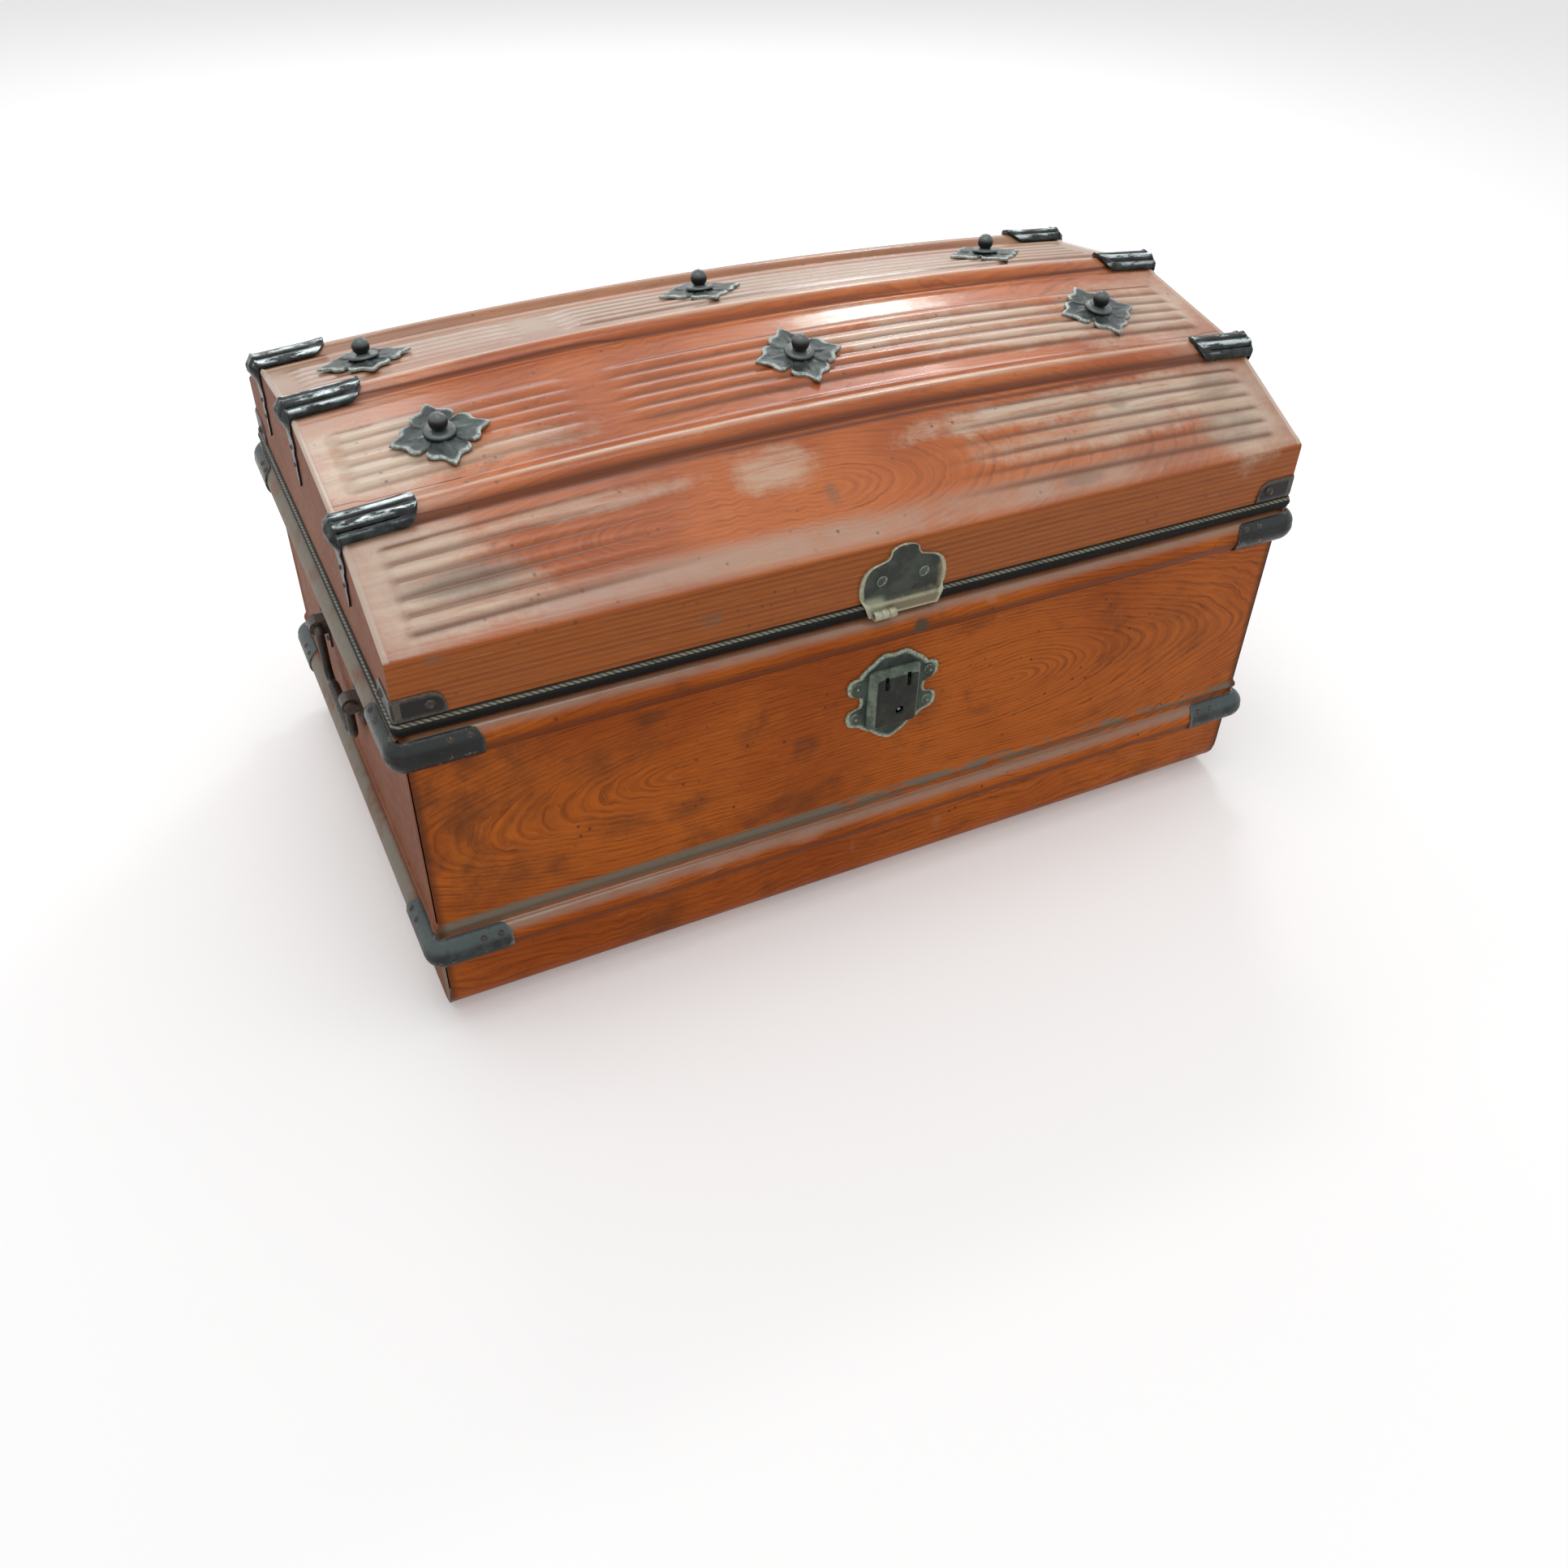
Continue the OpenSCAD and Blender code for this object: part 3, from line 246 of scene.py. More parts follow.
def bead_arc(middle, height, out, steps):
    """Points (out, z) of a half-round bead, from its lower foot to its upper one."""
    r = arc_radius(height, out)
    half = math.asin(min(1, height / 2 / r))
    a = np.linspace(-half, half, steps + 1)
    return np.stack([out - r + r * np.cos(a), middle + r * np.sin(a)], axis=1)


# ---------------------------------------------------------------------------
# Materials
# ---------------------------------------------------------------------------


class Paint:
    """One node material. Each method adds a node and returns its output socket."""

    def __init__(self, name, **settings):
        self.material = bpy.data.materials.new(name)
        self.material.use_nodes = True
        self.tree = self.material.node_tree
        self.shader = self.tree.nodes["Principled BSDF"]
        self.color = None
        self.set(**{"Roughness": 0.5, **settings})

    def set(self, **settings):
        """Sets or links the shader's own sockets by name."""
        for name, value in settings.items():
            self.put(self.shader.inputs[name.replace("_", " ")], value)

    def put(self, socket, value):
        if isinstance(value, bpy.types.NodeSocket):
            self.tree.links.new(value, socket)
        elif isinstance(value, tuple) and len(value) == 3 and socket.type == "RGBA":
            socket.default_value = (*value, 1)
        else:
            socket.default_value = value

    def node(self, kind, inputs, output=0, **settings):
        made = self.tree.nodes.new(kind)
        for key, value in settings.items():
            setattr(made, key, value)
        for key, value in inputs.items():
            self.put(made.inputs[key], value)
        return made.outputs[output]

    def attribute(self, name):
        return self.node("ShaderNodeAttribute", {}, "Vector", attribute_name=name)

    def place(self):
        """Object coordinates in millimetres."""
        coordinates = self.node("ShaderNodeTexCoord", {}, "Object")
        return self.scaled(coordinates, (1 / MM, 1 / MM, 1 / MM))

    def scaled(self, vector, factors):
        return self.node("ShaderNodeVectorMath", {0: vector, 1: factors}, operation="MULTIPLY")

    def moved(self, vector, offset):
        return self.node("ShaderNodeVectorMath", {0: vector, 1: offset}, operation="ADD")

    def length(self, vector):
        return self.node("ShaderNodeVectorMath", {0: vector}, "Value", operation="LENGTH")

    def axis(self, vector, which):
        return self.node("ShaderNodeSeparateXYZ", {0: vector}, which)

    def joined(self, x, y):
        return self.node("ShaderNodeCombineXYZ", {0: x, 1: y})

    def math(self, operation, a, b=0.0, c=0.0):
        return self.node("ShaderNodeMath", {0: a, 1: b, 2: c}, operation=operation)

    def times(self, *values):
        product = values[0]
        for value in values[1:]:
            product = self.math("MULTIPLY", product, value)
        return product

    def most(self, *masks):
        total = masks[0]
        for mask in masks[1:]:
            total = self.math("MAXIMUM", total, mask)
        return total

    def noise(self, vector, scale=1.0, detail=2.0, roughness=0.5):
        inputs = {"Vector": vector, "Scale": scale, "Detail": detail, "Roughness": roughness}
        return self.node("ShaderNodeTexNoise", inputs, 0)

    def cells(self, vector, scale):
        return self.node("ShaderNodeTexVoronoi", {"Vector": vector, "Scale": scale}, "Distance")

    def band(self, value, low, high, start=0.0, end=1.0):
        """A smooth step from start at low to end at high."""
        inputs = {0: value, 1: low, 2: high, 3: start, 4: end}
        return self.node("ShaderNodeMapRange", inputs, interpolation_type="SMOOTHSTEP")

    def within(self, value, low, high, soft):
        """1 between low and high, falling to 0 over soft on both sides."""
        return self.times(self.band(value, low - soft, low + soft),
                          self.band(value, high + soft, high - soft))

    def mix(self, share, a, b):
        made = self.tree.nodes.new("ShaderNodeMix")
        made.data_type = "RGBA"
        self.put(made.inputs["Factor"], share)
        self.put(made.inputs[6], a)
        self.put(made.inputs[7], b)
        return made.outputs[2]

    def cover(self, color, *shares):
        """Lays a colour over the paint's own, by the product of the shares."""
        self.color = self.mix(self.times(*shares), self.color, color)

    def spot(self, where, wobble, centre, reach, soft=0.35, ragged=0.9):
        """1 inside a ragged oval at centre, 0 outside; reach holds its half sizes."""
        near = self.moved(where, (-centre[0], -centre[1], 0))
        away = self.length(self.scaled(near, (1 / reach[0], 1 / reach[1], 0)))
        away = self.math("MULTIPLY_ADD", wobble, 2 * ragged, away)
        return self.band(away, 1 + soft + ragged, 1 - soft + ragged)

    def spots(self, where, wobble, places):
        """The same for a list of (x, s, half length, half height, strength)."""
        masks = [self.times(self.spot(where, wobble, p[:2], p[2:4], 0.5), p[4]) for p in places]
        return self.most(*masks)

    def finished(self, height, relief, roughness, **more):
        """Links colour, roughness and a relief in millimetres, and gives the material."""
        inputs = {"Height": height, "Distance": relief * MM, "Strength": 1.0}
        normal = self.node("ShaderNodeBump", inputs)
        self.set(Base_Color=self.color, Roughness=roughness, Normal=normal, **more)
        return self.material


def eye(paint, where, x, s, half, squash):
    """Distance from an upright growth figure: straight lines with nested arcs at both ends."""
    near = paint.moved(where, (-x, -s, 0))
    along = paint.math("ABSOLUTE", paint.axis(near, 0))
    past = paint.math("MAXIMUM", paint.math("SUBTRACT", along, half), 0.0)
    return paint.length(paint.joined(paint.times(past, squash), paint.axis(near, 1)))


def wander(paint, where, wide, high, seed):
    """Slow drift of the growth rings."""
    near = paint.moved(where, (seed, seed, 0))
    return paint.noise(paint.scaled(near, (1 / wide, 1 / high, 0)), 1.0, 1.5, 0.45)


def feathered(paint, where, height, amount):
    """Roughens the rings with the small zigzags of a graining comb."""
    flame = paint.noise(paint.scaled(where, (0.060, 0.20, 0)), 1.0, 3, 0.6)
    teeth = paint.math("PINGPONG", paint.math("MULTIPLY_ADD", paint.noise(where, 0.02, 1), 40.0,
                                              paint.axis(where, 0)), 8.0)
    zigzag = paint.times(paint.band(paint.noise(where, 0.012, 1), 0.48, 0.62), teeth, 0.06 * amount)
    return paint.math("ADD", paint.math("MULTIPLY_ADD", flame, 0.8 * amount, height), zigzag)


def grain(paint, where, height):
    """Ring darkness and hairline lightness, both 0 to 1, from the ring count at a point."""
    ring = paint.math("FRACT", height)
    late = paint.times(paint.band(ring, 0.15, 0.80), paint.band(ring, 1.0, 0.90))
    x = paint.axis(where, 0)
    weight = paint.noise(paint.joined(paint.times(height, 0.83), paint.times(x, 0.004)), 1.0, 2, 0.6)
    late = paint.times(late, paint.band(weight, 0.32, 0.62, 0.25, 1.0))
    hair = paint.noise(paint.joined(paint.times(x, 0.045), paint.times(height, 2.9)), 1.0, 4, 0.74)
    return late, hair


def grained(paint, late, hair, dark, pale, depth=1.0):
    """Lays the graining over the paint's colour."""
    broken = paint.band(hair, 0.35, 0.62, 1.0, 0.40)
    paint.cover(dark, late, broken, 0.66 * depth)
    paint.cover(pale, paint.band(hair, 0.54, 0.76, 0.0, 0.40 * depth))
    paint.cover(dark, paint.band(hair, 0.48, 0.28, 0.0, 0.75 * depth))


def specks(paint, where):
    """Small scattered marks."""
    dots = paint.band(paint.cells(where, 0.10), 0.17, 0.05)
    return paint.times(dots, paint.band(paint.noise(where, 0.02, 2), 0.46, 0.60))


BODY_DARK_SPOTS = [
    (-284, 150, 30, 60, 1.0), (-262, 112, 40, 26, 0.6), (-232, 168, 45, 30, 0.55),
    (-160, 122, 45, 9, 0.75), (-75, 95, 28, 9, 0.7), (-22, 103, 14, 18, 0.6),
    (-58, 139, 8, 9, 0.8), (72, 180, 9, 4, 0.9), (-160, 198, 12, 5, 0.8), (30, 150, 14, 22, 0.35),
    (232, 150, 42, 30, 0.35), (200, 95, 60, 8, 0.3), (-165, 26, 22, 18, 0.75),
    (-83, 20, 7, 12, 0.9), (20, 40, 40, 9, 0.35), (250, 12, 60, 16, 0.6), (-285, 14, 30, 16, 0.4),
]
BODY_PALE_SPOTS = [
    (50, 38, 3, 7, 0.5), (222, 40, 9, 3, 0.5), (-18, 40, 2, 6, 0.4), (66, 224, 4, 2.5, 1.0),
    (-118, 69, 18, 3.5, 0.9), (-62, 69, 14, 3, 0.8), (-165, 67, 12, 2.5, 0.6),
]


def grained_paint():
    """The body's orange-brown graining under an old varnish."""
    paint = Paint("grained_paint", Specular_IOR_Level=0.12, Coat_Roughness=0.14)
    where = paint.attribute("unrolled")
    place = paint.place()
    x, s = paint.axis(where, 0), paint.axis(where, 1)
    out = paint.axis(paint.attribute("proud"), 0)
    up = paint.axis(paint.attribute("facing"), 2)
    wall = paint.math("MULTIPLY_ADD", wander(paint, where, 150, 60, 5.0), 8.0,
                      paint.times(eye(paint, where, -25, 148, 120, 0.30), 1 / 3.0))
    low = paint.math("MULTIPLY_ADD", wander(paint, where, 120, 60, 9.0), 9.0, paint.times(s, 1 / 5))
    height = paint.math("ADD", paint.times(wall, paint.band(s, 58, 59)),
                        paint.times(low, paint.band(s, 59, 58)))
    height = feathered(paint, where, height, 0.5)
    late, hair = grain(paint, where, height)
    tone = paint.noise(place, 0.006, 3, 0.55)
    paint.color = paint.mix(paint.band(tone, 0.36, 0.64), (0.352, 0.069, 0.0045), (0.500, 0.118, 0.0100))
    grained(paint, late, hair, (0.1445, 0.0289, 0.0034), (0.68, 0.221, 0.0374))
    mottle = paint.noise(place, 0.026, 5, 0.64)
    wobble = paint.noise(place, 0.040, 4, 0.65)
    dark = paint.times(paint.spots(where, wobble, BODY_DARK_SPOTS), paint.band(mottle, 0.36, 0.60))
    paint.cover((0.102, 0.0323, 0.0102), dark, 0.66)
    paint.cover((0.1445, 0.0408, 0.0119), paint.band(mottle, 0.54, 0.72, 0.0, 0.52))
    paint.cover((0.0476, 0.0238, 0.017), specks(paint, place), 0.8)
    # painted shade darkens the undersides of the beads; their tops take a painted highlight, partly rubbed
    # pale wear
    paint.cover((0.140, 0.028, 0.003), paint.band(up, 0.30, -0.30), paint.band(out, 0.05, 0.3), 0.85)
    scuff = paint.noise(paint.scaled(where, (0.03, 0.14, 0)), 1.0, 5, 0.68)
    top = paint.times(paint.band(up, 0.35, 0.85), paint.band(out, 0.02, 0.2))
    paint.cover((0.345, 0.200, 0.130), top, paint.band(scuff, 0.3, 0.6, 0.55, 0.95))
    # bare tinplate along the small ridge and on the bead under it
    ridge = paint.within(s, 75, 85, 1.4)
    left = paint.band(x, 40, -80, 0.38, 1.0)
    bare = paint.times(ridge, paint.band(paint.math("MULTIPLY_ADD", left, 0.25, scuff), 0.52, 0.64))
    worn = paint.spot(where, wobble, (14, 219), (5, 5), 0.3, 0.5)
    paint.cover((0.150, 0.150, 0.115), bare, 0.85)
    paint.cover((0.075, 0.062, 0.036), worn, 0.9)
    pale = paint.times(paint.spots(where, wobble, BODY_PALE_SPOTS), paint.band(scuff, 0.35, 0.55))
    paint.cover((0.420, 0.210, 0.125), pale, 0.6)
    edge = paint.band(paint.math("ABSOLUTE", x), 298, 304)
    paint.cover((0.085, 0.0255, 0.0085), edge, 0.75)
    rough = paint.math("ADD", paint.band(mottle, 0.4, 0.7, 0.28, 0.44), paint.times(bare, 0.1))
    relief = paint.math("MULTIPLY_ADD", hair, 0.5, paint.noise(place, 0.06, 4, 0.6))
    return paint.finished(relief, 0.16, rough, Coat_Weight=paint.times(top, 0.8))


# pale patches on the lid: partly bleached varnish, partly painted glare where lamps are mirrored in the
# slopes
LID_BLEACH_AND_GLARE = [
    (-266, 168, 40, 10, 0.9), (-272, 140, 30, 26, 1.0), (-215, 128, 60, 10, 0.6),
    (-268, 60, 34, 18, 0.8), (-262, 26, 44, 18, 0.75), (-180, 66, 60, 6, 0.6), (-58, 62, 24, 14, 0.65),
    (130, 66, 80, 9, 0.95), (215, 58, 70, 17, 1.0), (170, 44, 80, 12, 0.8), (268, 36, 28, 34, 0.8),
    (60, 192, 52, 8, 1.0), (105, 160, 95, 15, 0.9), (170, 138, 85, 12, 0.9), (240, 150, 50, 32, 0.8),
    (60, 255, 170, 12, 0.9), (-20, 285, 290, 28, 0.7), (-120, 100, 90, 5, 0.45),
    (150, 103, 150, 5, 0.55), (0, 222, 240, 5, 0.5), (-230, 225, 60, 12, 0.5),
]
# dark patches of dirt; the last three, round the bosses, are partly painted shadow
LID_DARK = [
    (-250, 38, 30, 9, 1.0), (-30, 40, 4, 8, 0.6), (136, 12, 14, 4, 0.6), (262, 58, 16, 10, 0.5),
    (185, 59, 6, 4, 0.6), (255, 26, 26, 12, 0.5), (-281, -3, 6, 3, 0.5), (-122, -22, 7, 5, 0.5),
    (-231, 153, 26, 26, 0.45), (0, 156, 26, 28, 0.45), (231, 153, 26, 26, 0.45),
]


def lid_paint():
    """The lid's graining: rubbed and bleached on its slopes, deep orange on its skirt."""
    paint = Paint("lid_paint", Specular_IOR_Level=0.3, Coat_Roughness=0.13)
    where = paint.attribute("unrolled")
    place = paint.place()
    x, s = paint.axis(where, 0), paint.axis(where, 1)
    groove = paint.axis(paint.attribute("proud"), 1)
    up = paint.axis(paint.attribute("facing"), 2)
    skirt = paint.band(s, 1.2, -0.6)
    outer = paint.math("MULTIPLY_ADD", wander(paint, where, 90, 50, 6.0), 3.0,
                       paint.times(eye(paint, where, -85, 42, 55, 0.34), 1 / 3.0))
    inner = paint.math("MULTIPLY_ADD", wander(paint, where, 110, 60, 2.0), 10.0, paint.times(s, 1 / 6))
    straight = paint.math("MULTIPLY_ADD", wander(paint, where, 260, 50, 4.0), 2.5, paint.times(s, 1 / 3.6))
    height = paint.math("ADD", paint.times(outer, paint.band(s, 92, 91)),
                        paint.times(inner, paint.band(s, 91, 92)))
    height = feathered(paint, where, height, 1.0)
    height = paint.node("ShaderNodeMix", {0: skirt, 2: height, 3: straight})
    late, hair = grain(paint, where, height)
    tone = paint.noise(place, 0.007, 3, 0.55)
    paint.color = paint.mix(paint.band(tone, 0.35, 0.65), (0.395, 0.088, 0.018), (0.555, 0.150, 0.034))
    paint.cover((0.375, 0.094, 0.0065), skirt)
    grained(paint, late, hair, (0.210, 0.048, 0.010), (0.760, 0.360, 0.150), 0.75)
    paint.cover((0.150, 0.030, 0.004), skirt, late, 0.45)
    cloud = paint.noise(place, 0.013, 5, 0.62)
    wobble = paint.noise(place, 0.045, 6, 0.72)
    # a dull grey-brown bloom over the lower slope and towards both ends, partly worn varnish and partly a
    # painted reflection
    ends = paint.band(paint.math("ABSOLUTE", x), 205, 296)
    lower = paint.within(s, 3, 22, 7)
    bloom_and_sheen = paint.times(paint.band(s, 0.5, 2.5), paint.most(lower, ends))
    bloom_and_sheen = paint.times(bloom_and_sheen, paint.band(cloud, 0.35, 0.60, 0.35, 0.95))
    paint.cover((0.490, 0.355, 0.272), bloom_and_sheen, 0.75)
    streak = paint.noise(paint.scaled(where, (0.012, 0.16, 0)), 1.0, 5, 0.74)
    # pale patches, partly bleached varnish and partly painted glare
    bleach_and_glare = paint.spots(where, wobble, LID_BLEACH_AND_GLARE)
    bleach_and_glare = paint.times(bleach_and_glare, paint.band(streak, 0.36, 0.54, 0.42, 1.0))
    paint.cover((0.650, 0.535, 0.410), bleach_and_glare, 0.88)
    paint.cover((0.300, 0.210, 0.130), paint.band(s, 236, 244, 0.0, 0.50))
    # dirt, and painted shadow round the bosses
    dirt_and_shadow = paint.times(paint.spots(where, wobble, LID_DARK), paint.band(wobble, 0.3, 0.5, 0.5, 1.0))
    paint.cover((0.115, 0.105, 0.080), dirt_and_shadow, 0.65)
    # darker in the flutes, partly dirt and partly painted shade, and painted shade under the slat beads
    paint.cover((0.150, 0.055, 0.024), groove, 0.80)
    under = paint.times(paint.band(up, 0.72, 0.30), paint.band(s, 60, 66))
    paint.cover((0.170, 0.036, 0.005), under, 0.85)
    paint.cover((0.0765, 0.0408, 0.0272), specks(paint, place), 0.65)
    # painted shade in fine dark lines along the feet of the slat beads, and pale crests between them,
    # partly rubbed wear and partly painted highlight
    lines = paint.most(paint.within(s, 79, 81.5, 1.2), paint.within(s, 84.6, 85.4, 0.5),
                       paint.within(s, 111.4, 112.4, 0.6), paint.within(s, 204.5, 206.5, 0.8))
    paint.cover((0.130, 0.032, 0.010), lines, paint.band(streak, 0.3, 0.5, 0.5, 0.9))
    crests = paint.most(paint.within(s, 95, 106, 2.5), paint.within(s, 214, 224, 2.5))
    paint.cover((0.560, 0.380, 0.260), crests, paint.band(streak, 0.35, 0.6, 0.25, 0.75))
    # painted highlight along the thin roll at both ends of the slopes
    roll = paint.band(paint.math("ABSOLUTE", x), 302.2, 303.6)
    paint.cover((0.640, 0.540, 0.450), roll, paint.band(s, 0, 2), 0.6)
    slopes = paint.band(s, -0.5, 2.0)
    rough = paint.band(cloud, 0.3, 0.7, 0.26, 0.42)
    relief = paint.math("MULTIPLY_ADD", hair, 0.45, paint.noise(place, 0.05, 4, 0.6))
    return paint.finished(relief, 0.14, rough, Coat_Weight=paint.times(slopes, 0.32))


def end_paint():
    """The end panels: plain pinkish red-brown paint, their beads rubbed to grey metal."""
    paint = Paint("end_paint", Specular_IOR_Level=0.06)
    place = paint.place()
    up = paint.axis(paint.attribute("facing"), 2)
    out = paint.axis(paint.attribute("proud"), 0)
    cloud = paint.noise(place, 0.012, 5, 0.62)
    fine = paint.noise(place, 0.16, 4, 0.7)
    paint.color = paint.mix(paint.band(cloud, 0.3, 0.7), (0.205, 0.062, 0.026), (0.270, 0.098, 0.046))
    paint.cover((0.240, 0.130, 0.085), paint.band(fine, 0.55, 0.8, 0.0, 0.2))
    paint.cover((0.1445, 0.0799, 0.0544), paint.band(cloud, 0.60, 0.80, 0.0, 0.6))
    paint.cover((0.0595, 0.0374, 0.0272), specks(paint, place), 0.8)
    # painted shade where the panel faces down
    paint.cover((0.102, 0.0442, 0.0255), paint.band(up, 0.05, -0.55, 0.0, 0.75))
    rubbed = paint.times(paint.band(out, 0.12, 0.45), paint.band(up, -0.25, 0.25),
                         paint.band(paint.noise(place, 0.03, 5, 0.65), 0.30, 0.52, 0.3, 1.0))
    paint.cover((0.250, 0.245, 0.205), rubbed, 0.85)
    # a chip down to bright tin at the lid's front left corner
    x, y, z = paint.axis(place, 0), paint.axis(place, 1), paint.axis(place, 2)
    chip = paint.times(paint.band(x, -300, -304), paint.within(y, -190, -183, 2),
                       paint.within(z, 246, 256, 3))
    paint.cover((0.700, 0.470, 0.230), chip, 0.95)
    seam = paint.times(paint.band(paint.math("ABSOLUTE", y), BODY_D / 2 - 9.6, BODY_D / 2 - 8.4),
                       paint.band(z, 56, 50), paint.band(fine, 0.3, 0.5, 0.6, 1.0))
    paint.cover((0.200, 0.195, 0.155), seam, 0.8)
    return paint.finished(fine, 0.14, paint.band(fine, 0.3, 0.8, 0.44, 0.62),
                          Metallic=paint.times(rubbed, 0.3))


def inside_paint():
    """Inside faces: dull, thin brown paint over tinplate."""
    paint = Paint("inside_paint", Specular_IOR_Level=0.25)
    place = paint.place()
    cloud = paint.noise(place, 0.014, 5, 0.6)
    fine = paint.noise(place, 0.22, 3, 0.7)
    paint.color = paint.mix(paint.band(cloud, 0.3, 0.7), (0.130, 0.085, 0.055), (0.200, 0.140, 0.095))
    paint.cover((0.090, 0.055, 0.038), paint.band(fine, 0.62, 0.78, 0.0, 0.6))
    return paint.finished(fine, 0.1, paint.band(fine, 0.3, 0.8, 0.5, 0.7))


def metal(name, dark, pale, tint, tint_share, roughness, metallic, pale_share=0.8,
          above=None, below=None, edges=(0.505, 0.56)):
    """Old fittings: a dark ground, paler rubbed edges and a patina in patches; above gives the colour of a
    painted highlight, partly dust, on what faces up, and below the colour of painted shade on what faces
    down."""
    paint = Paint(name, Specular_IOR_Level=0.3)
    place = paint.place()
    up = paint.axis(paint.attribute("facing"), 2)
    cloud = paint.noise(place, 0.06, 5, 0.65)
    fine = paint.noise(place, 0.55, 4, 0.7)
    edge = paint.node("ShaderNodeNewGeometry", {}, "Pointiness")
    rubbed = paint.times(paint.band(edge, *edges), paint.band(fine, 0.35, 0.6, 0.4, 1.0))
    paint.color = paint.mix(paint.band(cloud, 0.40, 0.62, 0.0, tint_share), dark, tint)
    if above:
        # painted highlight on what faces up, partly dust
        lit = paint.times(paint.band(up, 0.10, 0.65), paint.band(cloud, 0.3, 0.5, 0.6, 1.0))
        paint.cover(above, lit)
    if below:
        # painted shade on what faces down; the pale chips there are wear
        paint.cover(below, paint.band(up, 0.10, -0.35), 0.92)
        chips = paint.band(paint.noise(place, 0.22, 3, 0.6), 0.60, 0.68)
        chips = paint.times(chips, paint.band(up, 0.2, -0.1))
        paint.cover((0.20, 0.13, 0.09), chips, 0.8)
    paint.cover(tuple(c * 0.35 for c in dark), paint.band(fine, 0.55, 0.75, 0.0, 0.35))
    paint.cover(pale, rubbed, pale_share)
    bare = paint.times(paint.most(rubbed, paint.band(cloud, 0.4, 0.7, 0.2, 0.8)), metallic)
    relief = paint.math("MULTIPLY_ADD", cloud, 0.8, fine)
    rough = paint.band(fine, 0.25, 0.8, roughness - 0.10, roughness + 0.16)
    return paint.finished(relief, 0.25, rough, Metallic=bare)


def cap_metal():
    """The slat caps: black, with painted highlights in streaks along the lobes that face up."""
    paint = Paint("cap_metal", Specular_IOR_Level=0.3)
    place = paint.place()
    up = paint.axis(paint.attribute("facing"), 2)
    lobe = paint.axis(paint.attribute("proud"), 0)
    cloud = paint.noise(place, 0.09, 5, 0.65)
    fine = paint.noise(place, 0.5, 4, 0.7)
    streak = paint.noise(paint.scaled(place, (0.05, 0.20, 0.20)), 1.0, 4, 0.7)
    paint.color = paint.mix(paint.band(cloud, 0.4, 0.65), (0.007, 0.008, 0.008), (0.036, 0.047, 0.046))
    # painted highlight along the tops of the lobes
    painted_glint = paint.times(paint.band(up, 0.35, 0.85), paint.band(lobe, 0.72, 0.98),
                         paint.band(streak, 0.44, 0.56))
    paint.cover((0.600, 0.690, 0.710), painted_glint, 0.95)
    # painted shade: the grooves between the lobes go black
    paint.cover((0.003, 0.003, 0.003), paint.band(lobe, 0.40, 0.15, 0.0, 0.9))
    relief = paint.math("MULTIPLY_ADD", cloud, 0.8, fine)
    return paint.finished(relief, 0.25, paint.band(fine, 0.25, 0.8, 0.20, 0.42),
                          Metallic=paint.times(painted_glint, 0.6))


def lip_metal():
    """The lid's lip: a fine rope line along its top, worn metal with a painted highlight, and painted
    shadow below it, black.
    """
    paint = Paint("lip_metal", Specular_IOR_Level=0.15)
    place = paint.place()
    x, y, z = paint.axis(place, 0), paint.axis(place, 1), paint.axis(place, 2)
    twist = paint.math("PINGPONG", paint.math("ADD", paint.math("ADD", x, y), paint.times(z, 1.2)), 2.0)
    streak = paint.noise(paint.scaled(place, (0.05, 0.05, 0.9)), 1.0, 4, 0.7)
    fine = paint.noise(place, 0.5, 3, 0.7)
    paint.color = paint.mix(paint.band(streak, 0.35, 0.65), (0.006, 0.006, 0.005), (0.016, 0.015, 0.012))
    # the rope line: worn metal with a painted highlight
    upper = paint.within(z, LIP_TOP - 2.4, LIP_TOP - 0.8, 0.4)
    rope = paint.times(upper, paint.band(streak, 0.30, 0.55, 0.55, 1.0),
                       paint.band(twist, 0.5, 1.3, 0.25, 1.0))
    paint.cover((0.270, 0.262, 0.205), rope)
    # painted shadow: black below the rope line, where the gap under the lip lies
    paint.cover((0.003, 0.003, 0.003), paint.band(z, LIP_TOP - 3.2, LIP_TOP - 4.4, 0.0, 0.95))
    return paint.finished(fine, 0.15, paint.band(fine, 0.3, 0.8, 0.40, 0.65))


def hasp_metal():
    """The hasp plate: slate green with a pale rim, brassy along its foot and its right side."""
    paint = Paint("hasp_metal", Specular_IOR_Level=0.3)
    place = paint.place()
    x, z = paint.axis(place, 0), paint.axis(place, 2)
    cloud = paint.noise(place, 0.07, 5, 0.65)
    fine = paint.noise(place, 0.5, 4, 0.7)
    edge = paint.node("ShaderNodeNewGeometry", {}, "Pointiness")
    paint.color = paint.mix(paint.band(cloud, 0.4, 0.62), (0.026, 0.032, 0.025), (0.058, 0.068, 0.052))
    wobbled = paint.math("MULTIPLY_ADD", cloud, 14.0, z)
    right = paint.band(paint.math("MULTIPLY_ADD", cloud, 12.0, x), 31, 35)
    brassy = paint.most(paint.band(wobbled, 250, 246), right)
    paint.cover((0.240, 0.200, 0.110), brassy, 0.85)
    corner = paint.times(paint.band(x, -8, -14), paint.band(z, 246, 241))
    paint.cover((0.330, 0.370, 0.240), corner, 0.85)
    rubbed = paint.times(paint.band(edge, 0.505, 0.54), paint.band(fine, 0.35, 0.55, 0.6, 1.0))
    paint.cover((0.460, 0.440, 0.320), rubbed, 0.95)
    relief = paint.math("MULTIPLY_ADD", cloud, 0.8, fine)
    return paint.finished(relief, 0.3, paint.band(fine, 0.3, 0.8, 0.34, 0.58),
                          Metallic=paint.times(rubbed, 0.5))


